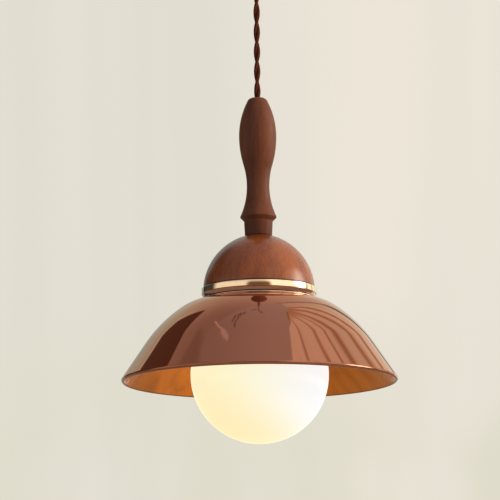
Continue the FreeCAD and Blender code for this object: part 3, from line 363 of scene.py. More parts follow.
@dataclass(frozen=True)
class Metal(Finish):
    """Bare or plated metal with faint turning marks and handling haze."""

    name: str
    colour: Colour
    roughness: float
    haze: float = 0.12
    marks: float = 0.3

    def shade(self, graph: Graph) -> Inputs:
        """Run the turning marks round the axis, so that they change with height.

        Args:
            graph: the material's graph.

        Returns:
            The shader's inputs.
        """
        marks = graph.noise(graph.place((0.06, 0.06, 1.0)), scale=4200.0, detail=2.0)
        cloud = graph.noise(graph.place(), scale=160.0, detail=4.0, roughness=0.6)
        dull = tuple(part * 0.8 for part in self.colour)
        return {
            "Base Color": graph.mix(cloud.ramp(0.45, 0.75) * 0.4, self.colour, dull),
            "Metallic": 1.0,
            "Roughness": cloud * self.haze + (self.roughness - self.haze / 2),
            "Normal": graph.bump(marks, 0.00002, self.marks),
        }


@dataclass(frozen=True)
class PaintedShadeMetal(Metal):
    """Plated metal with painted light: the brown glass's reflection in its groove, shade in the
    crease under it and a highlight on its bead.
    """

    # The groove gets a painted reflection of the brown glass and the crease gets painted shade;
    # brown is that reflection's colour and lit is the bead's painted highlight.
    groove: tuple[float, float] = (-0.3252, -0.3283)
    crease: float = -0.32955
    blend: float = 0.0001
    brown: Colour = (0.57, 0.27, 0.185)
    painted_crease_shade: Colour = (0.03, 0.008, 0.004)
    lit: Colour = (1.0, 0.82, 0.66)
    bead_haze: float = 0.25

    def shade(self, graph: Graph) -> Inputs:
        """Paint the reflection, the shade and the bead's highlight onto the metal by height.

        Args:
            graph: the material's graph.

        Returns:
            The shader's inputs.
        """
        inputs = Metal.shade(self, graph)
        _, _, height = graph.split(graph.place())
        top, foot = self.groove
        # Painted reflection of the brown glass in the groove, and painted shade in the crease
        # below it.
        below = height.ramp(foot + self.blend, foot - 2 * self.blend)
        painted_reflection_and_shade = graph.mix(below, self.brown, self.painted_crease_shade)
        painted_groove = (height.ramp(top + self.blend, top - self.blend)
                   * height.ramp(self.crease - self.blend, self.crease))
        # The bead is paler and rougher: a painted highlight.
        bead = height.ramp(self.crease, self.crease - self.blend)
        metal = graph.mix(bead, inputs["Base Color"], self.lit)
        inputs["Base Color"] = graph.mix(painted_groove, metal, painted_reflection_and_shade)
        inputs["Roughness"] = inputs["Roughness"] + bead * self.bead_haze
        return inputs


@dataclass(frozen=True)
class Moulded(Finish):
    """Plastic, ceramic or another smooth moulded stuff."""

    name: str
    colour: Colour
    roughness: float
    grain: float = 0.2
    coat: float = 0.0

    def shade(self, graph: Graph) -> Inputs:
        """Add a fine orange-peel grain and an uneven gloss.

        Args:
            graph: the material's graph.

        Returns:
            The shader's inputs.
        """
        grain = graph.noise(graph.place(), scale=2600.0, detail=2.0)
        cloud = graph.noise(graph.place(), scale=120.0)
        worn = tuple(min(1.0, part * 1.25 + 0.004) for part in self.colour)
        return {
            "Base Color": graph.mix(cloud.ramp(0.4, 0.8) * 0.5, self.colour, worn),
            "Roughness": cloud * 0.14 + (self.roughness - 0.07),
            "Normal": graph.bump(grain, 0.00003, self.grain),
            "Coat Weight": self.coat,
        }


@dataclass(frozen=True)
class Felt(Finish):
    """Pressed wool."""

    name: str
    colour: Colour

    def shade(self, graph: Graph) -> Inputs:
        """Mat the fibres.

        Args:
            graph: the material's graph.

        Returns:
            The shader's inputs.
        """
        hairs = graph.noise(graph.place(), scale=1900.0, detail=5.0, roughness=0.7,
                            distortion=1.5)
        pale = tuple(part * 1.9 + 0.01 for part in self.colour)
        return {
            "Base Color": graph.mix(hairs.ramp(0.35, 0.7), self.colour, pale),
            "Roughness": 0.95,
            "Sheen Weight": 0.4,
            "Normal": graph.bump(hairs, 0.0003, 0.8),
        }


@dataclass(frozen=True)
class Braid(Finish):
    """Woven cover of a cord's core, laid out on its UV map."""

    name: str
    thread: Colour
    shadow: Colour
    carriers: float = 9.0
    picks: float = 130.0

    def shade(self, graph: Graph) -> Inputs:
        """Pass two sets of slanted threads over and under each other.

        Args:
            graph: the material's graph.

        Returns:
            The shader's inputs.
        """
        around, along, _ = graph.split(graph.node("ShaderNodeUVMap", {"uv_map": "UVMap"}))
        right = ((around * self.carriers + along * self.picks) * FULL_TURN).math("SINE")
        left = ((around * self.carriers - along * self.picks) * FULL_TURN).math("SINE")
        weave = right.at_least(left) * 0.5 + 0.5
        fuzz = graph.noise(graph.place(), scale=1500.0)
        light = (weave * 0.75 + fuzz * 0.35).clamped()
        return {
            "Base Color": graph.mix(light, self.shadow, self.thread),
            "Roughness": 0.8,
            "Specular IOR Level": 0.15,
            "Normal": graph.bump(weave + fuzz * 0.3, 0.00022, 0.8),
        }


@dataclass(frozen=True)
class SmokedGlass(Finish):
    """Thick brown glass: a tinted mirror outside with a faint painted glow of the bulb through it,
    and a painted amber glow of the bulb inside.
    """

    name: str
    outside: Colour
    inside: Colour
    glow: Colour
    body: Colour
    painted_glow_strength: float = 0.3
    rim: float = -0.4046
    painted_rim_shade: Colour = (0.07, 0.018, 0.006)

    def outer(self, graph: Graph) -> Port:
        """Tell the sides apart by whether the surface faces away from the axis.

        Args:
            graph: the material's graph.

        Returns:
            1 on the outer side and 0 on the inner one.
        """
        normal = graph.node("ShaderNodeTexCoord", output="Normal")
        outward = graph.node("ShaderNodeVectorMath", {"operation": "NORMALIZE"},
                             [graph.place((1.0, 1.0, 0.0))])
        across = graph.node("ShaderNodeVectorMath", {"operation": "DOT_PRODUCT"},
                            [normal, outward], "Value")
        _, _, up = graph.split(normal)
        return (across + up).ramp(-0.1, 0.1)

    def shade(self, graph: Graph) -> Inputs:
        """Swirl the painted amber glow inside, and paint shade on the rim's underside.

        Args:
            graph: the material's graph.

        Returns:
            The shader's inputs.
        """
        outer = self.outer(graph)
        side, _, height = graph.split(graph.place())
        ripple = graph.noise(graph.place((1.0, 1.0, 0.25)), scale=26.0, detail=1.0,
                             roughness=0.4)
        swirl = graph.noise(graph.place((1.0, 1.0, 0.5)), scale=26.0, detail=2.0, distortion=0.8)
        swirl = swirl.ramp(0.3, 0.65) * (0.75 - side.ramp(-0.06, 0.06) * 0.35)
        # faint and inside are the painted amber of the bulb's light on the inner side, dim and
        # glow its painted glow; body is a faint painted glow through the outside.
        faint = tuple(part * 0.45 for part in self.inside)
        dim = tuple(part * 0.5 for part in self.glow)
        # Painted shade on the rim's underside.
        under = height.ramp(self.rim, self.rim - 0.0005) * 0.85
        base = graph.mix(outer, graph.mix(swirl, faint, self.inside), self.outside)
        glow = graph.mix(outer, graph.mix(swirl, dim, self.glow), self.body)
        return {
            "Base Color": graph.mix(under, base, self.painted_rim_shade),
            "Metallic": outer * 0.45 + 0.5,
            "Roughness": 0.05,
            "Specular Tint": (1.0, 0.7, 0.5),
            "Coat Weight": outer * 0.3 + 0.3,
            "Coat Roughness": 0.015,
            "Coat IOR": 1.5,
            "Normal": graph.bump(ripple, 0.0006, 0.25),
            "Emission Color": graph.mix(under, glow, self.painted_rim_shade),
            "Emission Strength": self.painted_glow_strength,
        }


@dataclass(frozen=True)
class LitOpal(Finish):
    """Opal glass that glows as the lamp, with painted light: paler to the right, where the key
    light falls, and painted shade low down.
    """

    name: str
    left: Colour
    right: Colour
    low: Colour
    base: Colour

    def shade(self, graph: Graph) -> Inputs:
        """Paint the key light's side and the shade low down into the glow.

        Args:
            graph: the material's graph.

        Returns:
            The shader's inputs.
        """
        across, _, height = graph.split(graph.place())
        # Paler to the right, where the key light falls, and warmer low down: painted light and
        # shade on the lamp's glow.
        glow = graph.mix(across.ramp(-0.045, 0.058), self.left, self.right)
        foot = (height * -1.0 - across * 0.5).ramp(0.405, 0.475)
        return {
            "Base Color": self.base,
            "Roughness": 0.25,
            "Emission Color": graph.mix(foot, glow, self.low),
            "Emission Strength": 1.0,
        }


@dataclass(frozen=True)
class FloorPaint(Finish):
    """Pale paint that shines evenly to the camera and is clear from below."""

    name: str
    colour: Colour
    glow: float

    def shade(self, graph: Graph) -> Inputs:
        """Tell the camera's rays and the underside apart.

        Args:
            graph: the material's graph.

        Returns:
            The shader's inputs.
        """
        seen = graph.node("ShaderNodeLightPath", output="Is Camera Ray")
        under = graph.node("ShaderNodeNewGeometry", output="Backfacing")
        return {
            "Base Color": self.colour,
            "Roughness": 0.8,
            "Emission Color": self.colour,
            "Emission Strength": seen * self.glow,
            "Alpha": 1.0 - under,
        }


# The stem's walnut has darker tones than the dome's, though both are the same wood: painted shade,
# as the stem gets less light.
STEM_WOOD = Walnut("walnut stem", light=tone(118, 65, 39), dark=tone(72, 36, 23),
                   shift=(0.013, 0.002, 0.0), seam=-0.2712, foot=0.35)
DOME_WOOD = Walnut("walnut dome", light=tone(164, 85, 34), dark=tone(106, 48, 18),
                   shift=(0.2, 0.05, 0.0), roughness=0.28, gloss=0.45, fleck=0.9,
                   seam=-0.319, crown=-0.272)
CUP_WOOD = Walnut("walnut canopy", light=tone(138, 80, 54), dark=tone(86, 45, 31),
                  shift=(0.4, 0.3, 0.1))
GOLD_COLOUR = (0.93, 0.7, 0.45)
GOLD = Metal("polished gold", GOLD_COLOUR, roughness=0.1, haze=0.05, marks=0.05)
RING_GOLD = PaintedShadeMetal("stained gold", GOLD_COLOUR, roughness=0.1, haze=0.05, marks=0.05)
BRASS = Metal("brass", (0.72, 0.52, 0.24), roughness=0.28)
STEEL = Metal("zinc plated steel", (0.56, 0.56, 0.54), roughness=0.35)
CAP_METAL = Metal("plated cap", (0.74, 0.73, 0.7), roughness=0.2)
BLACK = Moulded("black moulding", (0.018, 0.016, 0.015), roughness=0.3, grain=0.25, coat=0.2)
CERAMIC = Moulded("glazed ceramic", tone(228, 222, 210), roughness=0.25, grain=0.1, coat=0.4)
WHITE = Moulded("white moulding", tone(226, 223, 214), roughness=0.45)
DARK_GLASS = Moulded("dark insulator", (0.012, 0.008, 0.012), roughness=0.12, grain=0.05,
                     coat=0.6)
CORE_COVER = Moulded("core cover", tone(88, 52, 34), roughness=0.5)
WOOL = Felt("pressed felt", (0.03, 0.027, 0.025))
BRAIDED = Braid("braided cover", thread=tone(92, 44, 22), shadow=tone(40, 17, 8))
# inside, glow and body are painted light from the bulb: the amber inner side, its glow and a faint
# glow through the outside.
SHADE_GLASS = SmokedGlass("smoked brown glass", outside=(0.27, 0.09, 0.042),
                          inside=(0.62, 0.175, 0.015), glow=(0.62, 0.15, 0.002),
                          body=(0.16, 0.031, 0.012))
OPAL = LitOpal("lit opal glass", left=(0.93, 0.88, 0.58), right=(0.9, 0.89, 0.89),
               low=(0.93, 0.77, 0.43), base=(0.1, 0.1, 0.09))
FLOOR_PAINT = FloorPaint("pale floor", tone(232, 227, 215), glow=0.46)


class Profile:
    """An outline that a turned piece has on one side of its axis, in millimetres."""

    arc_tolerance = 0.006
    corner_shares = (0.0, 0.33, 0.67, 1.0)
    corner_reach = 0.45
    smallest_turn = math.radians(16)

    def __init__(self, radius: float, height: float) -> None:
        """Start at a point."""
        self.points: list[Point] = [(radius, height)]

    def line(self, radius: float, height: float) -> "Profile":
        """Go straight to a point."""
        self.points.append((radius, height))
        return self

    def arc(self, radius: float, height: float, centre_radius: float, centre_height: float,
            clockwise: bool = False) -> "Profile":
        """Go round a centre to a point.

        Args:
            radius: the end's radius.
            height: the end's height.
            centre_radius: the centre's radius.
            centre_height: the centre's height.
            clockwise: which way round it goes.

        Returns:
            The outline itself.
        """
        start_radius, start_height = self.points[-1]
        size = math.dist((radius, height), (centre_radius, centre_height))
        begin = math.atan2(start_height - centre_height, start_radius - centre_radius)
        finish = math.atan2(height - centre_height, radius - centre_radius)
        sweep = (finish - begin) % FULL_TURN
        if clockwise:
            sweep -= FULL_TURN
        step = 2 * math.acos(max(0.0, 1 - self.arc_tolerance / size))
        count = max(4, math.ceil(abs(sweep) / step))
        for index in range(1, count):
            angle = begin + sweep * index / count
            self.points.append((centre_radius + size * math.cos(angle),
                                centre_height + size * math.sin(angle)))
        self.points.append((radius, height))
        return self

    def soften(self, radius: float) -> list[Point]:
        """Round each sharp corner of the closed outline.

        Args:
            radius: how far from a corner the rounding starts.

        Returns:
            The outline's points, closed without repeating the first.
        """
        points = [Vector(point) for point in self.points]
        on_axis = points[0].x < TINY and points[-1].x < TINY
        if (points[0] - points[-1]).length < TINY:
            points.pop()
        rounded: list[Point] = []
        for index, corner in enumerate(points):
            before = points[index - 1] - corner
            after = points[(index + 1) % len(points)] - corner
            end = on_axis and index in (0, len(points) - 1)
            if end or before.length < TINY or after.length < TINY or self._flat(before, after):
                rounded.append(tuple(corner))
                continue
            reach = min(radius, before.length * self.corner_reach,
                        after.length * self.corner_reach)
            first = corner + before.normalized() * reach
            last = corner + after.normalized() * reach
            for share in self.corner_shares:
                left = first.lerp(corner, share)
                right = corner.lerp(last, share)
                rounded.append(tuple(left.lerp(right, share)))
        return rounded

    def _flat(self, before: Vector, after: Vector) -> bool:
        """Whether the outline hardly turns here."""
        return math.pi - before.angle(after) < self.smallest_turn

    def turned(self, softness: float, segments: int) -> bpy.types.Mesh:
        """The mesh of the outline with its corners rounded."""
        return lathe(self.soften(softness), segments)


def sharpen(mesh: bpy.types.Mesh) -> None:
    """Shade a mesh smooth, apart from its sharp edges.

    Args:
        mesh: the mesh, which is changed in place.
    """
    sharp_angle = math.radians(35)
    mesh.shade_smooth()
    mesh.set_sharp_from_angle(angle=sharp_angle)


def close_mesh(mesh: bpy.types.Mesh) -> None:
    """Weld a mesh and turn its faces outwards.

    Args:
        mesh: the mesh, which is changed in place.
    """
    weld = 1e-7
    work = bmesh.new()
    work.from_mesh(mesh)
    bmesh.ops.remove_doubles(work, verts=work.verts, dist=weld)
    bmesh.ops.recalc_face_normals(work, faces=work.faces)
    work.to_mesh(mesh)
    work.free()


def add_piece(name: str, mesh: bpy.types.Mesh, finish: Finish, body: Body,
              node: str) -> bpy.types.Object:
    """Put a finished mesh into the scene.

    Args:
        name: the piece's name.
        mesh: its mesh, in place.
        finish: what it is made of.
        body: the body that it rides on.
        node: the CAD node that it stands for.

    Returns:
        The new object.
    """
    mesh.name = name
    mesh.materials.clear()
    mesh.materials.append(finish.material())
    piece = bpy.data.objects.new(name, mesh)
    bpy.context.scene.collection.objects.link(piece)
    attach(piece, body.value)
    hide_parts(node)
    LOG.info("%s on %s: %d faces", name, body.value, len(mesh.polygons))
    return piece


def dress(finishes: dict[str, Finish]) -> list[bpy.types.Object]:
    """Give CAD nodes that stay in the scene their finishes.

    Args:
        finishes: each node's finish.

    Returns:
        The nodes' objects.
    """
    pieces = []
    for node, finish in finishes.items():
        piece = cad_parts[node]
        for holder in piece.material_slots:
            holder.material = finish.material()
        if not piece.material_slots:
            piece.data.materials.append(finish.material())
        LOG.info("%s keeps its solid, in %s", node, finish.name)
        pieces.append(piece)
    return pieces


def lathe(points: list[Point], segments: int) -> bpy.types.Mesh:
    """Turn an outline about the Z axis.

    Args:
        points: the outline in millimetres, from pole to pole or round a ring.
        segments: faces round the axis.

    Returns:
        A closed mesh in metres.
    """
    vertices: list[Place] = []
    rows: list[list[int]] = []
    for radius, height in points:
        count = 1 if radius < TINY else segments
        rows.append(list(range(len(vertices), len(vertices) + count)))
        for index in range(count):
            angle = FULL_TURN * index / segments
            vertices.append((radius * math.cos(angle) * MM, radius * math.sin(angle) * MM,
                             height * MM))
    poles = points[0][0] < TINY and points[-1][0] < TINY
    pairs = list(zip(rows, rows[1:])) + ([] if poles else [(rows[-1], rows[0])])
    faces: list[tuple[int, ...]] = []
    for low, high in pairs:
        for index in range(segments):
            after = (index + 1) % segments
            corners = (low[index % len(low)], low[after % len(low)],
                       high[after % len(high)], high[index % len(high)])
            faces.append(tuple(dict.fromkeys(corners)))
    mesh = bpy.data.meshes.new("turned")
    mesh.from_pydata(vertices, [], faces)
    close_mesh(mesh)
    sharpen(mesh)
    return mesh


def place_mesh(mesh: bpy.types.Mesh, shift: Place, turn: Place) -> bpy.types.Mesh:
    """Turn a mesh, then move it.

    Args:
        mesh: the mesh, which is changed in place.
        shift: the move in millimetres.
        turn: the angles about X, Y and Z in degrees.

    Returns:
        The same mesh.
    """
    rotation = Euler([math.radians(part) for part in turn]).to_matrix().to_4x4()
    mesh.transform(Matrix.Translation(Vector(shift) * MM) @ rotation)
    return mesh


def join_meshes(*meshes: bpy.types.Mesh) -> bpy.types.Mesh:
    """Put several meshes into one.

    Args:
        meshes: the meshes, in place.

    Returns:
        A new mesh.
    """
    work = bmesh.new()
    for mesh in meshes:
        work.from_mesh(mesh)
    joined = bpy.data.meshes.new("joined")
    work.to_mesh(joined)
    work.free()
    sharpen(joined)
    return joined


def block_mesh(size: Place, shift: Place) -> bpy.types.Mesh:
    """Make a box.

    Args:
        size: its sides in millimetres.
        shift: where its middle is.

    Returns:
        The box's mesh.
    """
    work = bmesh.new()
    bmesh.ops.create_cube(work, size=1.0)
    bmesh.ops.scale(work, verts=work.verts, vec=Vector(size) * MM)
    bmesh.ops.translate(work, verts=work.verts, vec=Vector(shift) * MM)
    mesh = bpy.data.meshes.new("block")
    work.to_mesh(mesh)
    work.free()
    return mesh


def carve(mesh: bpy.types.Mesh, cutter: bpy.types.Mesh) -> bpy.types.Mesh:
    """Cut one closed mesh out of another.

    Args:
        mesh: what is cut.
        cutter: what is taken away.

    Returns:
        The mesh that is left.
    """
    solid = bpy.data.objects.new("solid", mesh)
    tool = bpy.data.objects.new("tool", cutter)
    for piece in (solid, tool):
        bpy.context.scene.collection.objects.link(piece)
    cut = solid.modifiers.new("cut", "BOOLEAN")
    cut.operation = "DIFFERENCE"
    cut.solver = "EXACT"
    cut.object = tool
    carved = evaluate(solid)
    bpy.data.objects.remove(solid)
    bpy.data.objects.remove(tool)
    sharpen(carved)
    return carved


def drill(mesh: bpy.types.Mesh, radius: float, height: float, reach: float,
          segments: int) -> bpy.types.Mesh:
    """Drill a hole through a turned mesh, across its axis.

    Args:
        mesh: what is drilled.
        radius: the hole's radius in millimetres.
        height: the hole's height.
        reach: how far the drill reaches to each side.
        segments: faces round the hole.

    Returns:
        The drilled mesh.
    """
    bit = lathe([(0.0, -reach), (radius, -reach), (radius, reach), (0.0, reach)], segments)
    return carve(mesh, place_mesh(bit, shift=(0, 0, height), turn=(0, 90, 0)))


def evaluate(piece: bpy.types.Object) -> bpy.types.Mesh:
    """Make a plain mesh of an object with its modifiers applied.

    Args:
        piece: the object.

    Returns:
        Its final mesh.
    """
    bpy.context.view_layer.update()
    depsgraph = bpy.context.evaluated_depsgraph_get()
    return bpy.data.meshes.new_from_object(piece.evaluated_get(depsgraph))


class Kind(str, Enum):
    """What an input of a Geometry Nodes tree holds."""

    SIZE = "NodeSocketFloat"
    COUNT = "NodeSocketInt"
    PIECE = "NodeSocketObject"
    POINTS = "NodeSocketGeometry"
    MATERIAL = "NodeSocketMaterial"


def new_tree(name: str, inputs: dict[Kind, tuple[str, ...]]) -> tuple[Graph, dict[str, Port]]:
    """Start a Geometry Nodes tree.

    Args:
        name: the tree's name.
        inputs: the names of its inputs, by what they hold.

    Returns:
        The graph, and its inputs by name, with the material among them.
    """
    tree = bpy.data.node_groups.new(name, "GeometryNodeTree")
    tree.interface.new_socket("shape", in_out="OUTPUT", socket_type=Kind.POINTS.value)
    kinds = {label: kind for kind, labels in inputs.items() for label in labels}
    kinds["material"] = Kind.MATERIAL
    for label, kind in kinds.items():
        tree.interface.new_socket(label, in_out="INPUT", socket_type=kind.value)
    graph = Graph(tree)
    first = graph.node("NodeGroupInput")
    return graph, {label: graph.output(first, label) for label in kinds}


def end_tree(graph: Graph, shape: Port, material: Port) -> None:
    """Finish a tree with plain geometry and its material.

    Args:
        graph: the tree's graph.
        shape: the geometry.
        material: the tree's input for the material.
    """
    plain = graph.node("GeometryNodeRealizeInstances", {}, [shape])
    dressed = graph.node("GeometryNodeSetMaterial", {}, {"Geometry": plain, "Material": material})
    graph.node("NodeGroupOutput", {}, {"shape": dressed})


def run_tree(name: str, finish: Finish, points: Optional[bpy.types.Mesh] = None,
             **values: Union[float, bpy.types.Object]) -> bpy.types.Mesh:
    """Evaluate a tree.

    Args:
        name: the tree's name.
        finish: the material that it sets.
        points: what its input of points holds, if it has one.
        values: its other inputs.

    Returns:
        A plain mesh.
    """
    builder = bpy.data.objects.new("builder", points or bpy.data.meshes.new("builder"))
    bpy.context.scene.collection.objects.link(builder)
    modifier = builder.modifiers.new("builder", "NODES")
    modifier.node_group = bpy.data.node_groups[name]
    values["material"] = finish.material()
    for item in modifier.node_group.interface.items_tree:
        if item.in_out == "INPUT" and item.socket_type != Kind.POINTS.value:
            modifier[item.identifier] = values[item.name]
    mesh = evaluate(builder)
    builder.modifiers.remove(modifier)
    bpy.data.objects.remove(builder)
    return mesh


def helix_tree() -> None:
    """Make the tree of a round bar that winds about the Z axis, with a UV map along it."""
    graph, size = new_tree(HELIX, {
        Kind.SIZE: ("height", "lay", "spread", "bar", "phase", "base"),
        Kind.COUNT: ("steps", "around")})
    grid = graph.node("GeometryNodeMeshGrid", {}, {
        "Size X": 1.0, "Size Y": 1.0, "Vertices X": size["around"], "Vertices Y": size["steps"]})
    mapped = graph.node(
        "GeometryNodeStoreNamedAttribute", {"data_type": "FLOAT2", "domain": "CORNER"},
        {"Geometry": grid, "Name": "UVMap", "Value": graph.output(grid, "UV Map")})
    across, along, _ = graph.split(graph.node("GeometryNodeInputPosition"))
    around = (across + 0.5) * FULL_TURN
    share = along + 0.5
    end = 1e-4
    bar = size["bar"] * (share > end) * (share < 1 - end)
    rise = size["height"] * share
    angle = rise / size["lay"] * FULL_TURN + size["phase"]
    slope = size["spread"] / size["lay"] * FULL_TURN
    out = size["spread"] + bar * around.math("COSINE")
    side = bar * around.math("SINE") / (slope * slope + 1.0).math("SQRT")
    place = graph.point(out * angle.math("COSINE") - side * angle.math("SINE"),
                        out * angle.math("SINE") + side * angle.math("COSINE"),
                        size["base"] + rise - side * slope)
    shaped = graph.node("GeometryNodeSetPosition", {}, {"Geometry": mapped, "Position": place})
    welded = graph.node("GeometryNodeMergeByDistance", {}, {"Geometry": shaped, "Distance": TINY})
    smooth = graph.node("GeometryNodeSetShadeSmooth", {}, {"Geometry": welded})
    end_tree(graph, smooth, size["material"])


def rib_tree() -> None:
    """Make the tree of equal ribs that stand in a ring about the Z axis."""
    graph, size = new_tree(RIBS, {
        Kind.SIZE: ("radius", "depth", "width", "height", "base"), Kind.COUNT: ("count",)})
    line = graph.node("GeometryNodeMeshLine", {}, {
        "Count": size["count"], "Offset": (0.0, 0.0, 0.0)})
    extent = graph.point(size["depth"], size["width"], size["height"])
    cube = graph.node("GeometryNodeMeshCube", {}, {"Size": extent})
    rib = graph.node("GeometryNodeTransform", {}, {
        "Geometry": cube, "Translation": graph.point(size["radius"], 0.0, size["base"])})
    angle = graph.node("GeometryNodeInputIndex") / size["count"] * FULL_TURN
    turn = graph.node("FunctionNodeEulerToRotation", {}, [graph.point(0.0, 0.0, angle)])
    ribs = graph.node("GeometryNodeInstanceOnPoints", {}, {
        "Points": line, "Instance": rib, "Rotation": turn})
    end_tree(graph, ribs, size["material"])


def copies_tree() -> None:
    """Make the tree that sets a copy of a piece on each point, turned by the point's angles."""
    graph, given = new_tree(COPIES, {Kind.POINTS: ("points",), Kind.PIECE: ("piece",)})
    piece = graph.node("GeometryNodeObjectInfo", {}, {"Object": given["piece"]}, "Geometry")
    turn = graph.node("GeometryNodeInputNamedAttribute", {"data_type": "FLOAT_VECTOR"},
                      {"Name": TURN})
    placed = graph.node("GeometryNodeInstanceOnPoints", {}, {
        "Points": given["points"], "Instance": piece,
        "Rotation": graph.node("FunctionNodeEulerToRotation", {}, [turn])})
    end_tree(graph, placed, given["material"])


def copies(mesh: bpy.types.Mesh, finish: Finish, *places: tuple[Place, Place]) -> bpy.types.Mesh:
    """Set copies of a mesh at several places.

    Args:
        mesh: the mesh, at the origin.
        finish: what it is made of.
        places: each copy's shift in millimetres and its turn in degrees.

    Returns:
        The copies' mesh.
    """
    points = bpy.data.meshes.new("places")
    points.from_pydata([Vector(shift) * MM for shift, _ in places], [], [])
    turns = points.attributes.new(TURN, "FLOAT_VECTOR", "POINT")
    for item, (_, turn) in zip(turns.data, places):
        item.vector = [math.radians(part) for part in turn]
    piece = bpy.data.objects.new("piece", mesh)
    bpy.context.scene.collection.objects.link(piece)
    joined = run_tree(COPIES, finish, points, piece=piece)
    bpy.data.objects.remove(piece)
    sharpen(joined)
    return joined


@dataclass(frozen=True)
class Thread:
    """A rolled thread: a round ridge that winds up a cylinder, in millimetres."""

    radius: float
    ridge: float
    pitch: float
    base: float
    length: float
    steps_per_turn: int = 40
    around: int = 9

    def on(self, core: bpy.types.Mesh, finish: Finish) -> bpy.types.Mesh:
        """Wind the ridge round a core.

        Args:
            core: the core's mesh.
            finish: what both are made of.

        Returns:
            The threaded core.
        """
        steps = max(8, round(self.length / self.pitch * self.steps_per_turn))
        ridge = run_tree(HELIX, finish, height=self.length * MM, lay=self.pitch * MM,
                         spread=self.radius * MM, bar=self.ridge * MM, phase=0.0,
                         base=self.base * MM, steps=steps, around=self.around)
        close_mesh(ridge)
        return join_meshes(core, ridge)


@dataclass(frozen=True)
class Screw:
    """A screw with its domed head upwards at the origin, in millimetres."""

    shank: float
    length: float
    head: float
    head_height: float
    drive: Drive
    shoulder_share: float = 0.35
    softness: float = 0.15

    def mesh(self) -> bpy.types.Mesh:
        """Turn the screw and cut its drive into the head.

        Returns:
            The screw's mesh.
        """
        shoulder = self.head_height * self.shoulder_share
        rise = self.head_height - shoulder
        size = (self.head ** 2 + rise ** 2) / (2 * rise)
        tip = min(0.5, self.shank * 0.3)
        outline = Profile(0.0, self.head_height)
        outline.arc(self.head, shoulder, 0.0, self.head_height - size, clockwise=True)
        outline.line(self.head, 0.0).line(self.shank, 0.0).line(self.shank, tip - self.length)
        outline.line(self.shank - tip, -self.length).line(0.0, -self.length)
        mesh = outline.turned(self.softness, segments=32)
        for length, width, depth in self.drive.value:
            cut = (self.head * length, self.head * width, self.head_height * depth)
            mesh = carve(mesh, block_mesh(cut, (0.0, 0.0, self.head_height)))
        return mesh


@dataclass(frozen=True)
class Rod:
    """A headless screw that stands on the origin, with a slot in its top, in millimetres."""

    radius: float
    length: float
    slot: Place
    softness: float
    chamfer: float = 0.0

    def mesh(self) -> bpy.types.Mesh:
        """Turn the rod and cut its slot.

        Returns:
            The rod's mesh.
        """
        outline = Profile(0.0, self.length).line(self.radius, self.length)
        if self.chamfer:
            outline.line(self.radius, self.chamfer)
        outline.line(self.radius - self.chamfer, 0.0).line(0.0, 0.0)
        slot = block_mesh(self.slot, (0, 0, self.length))
        return carve(outline.turned(self.softness, segments=24), slot)


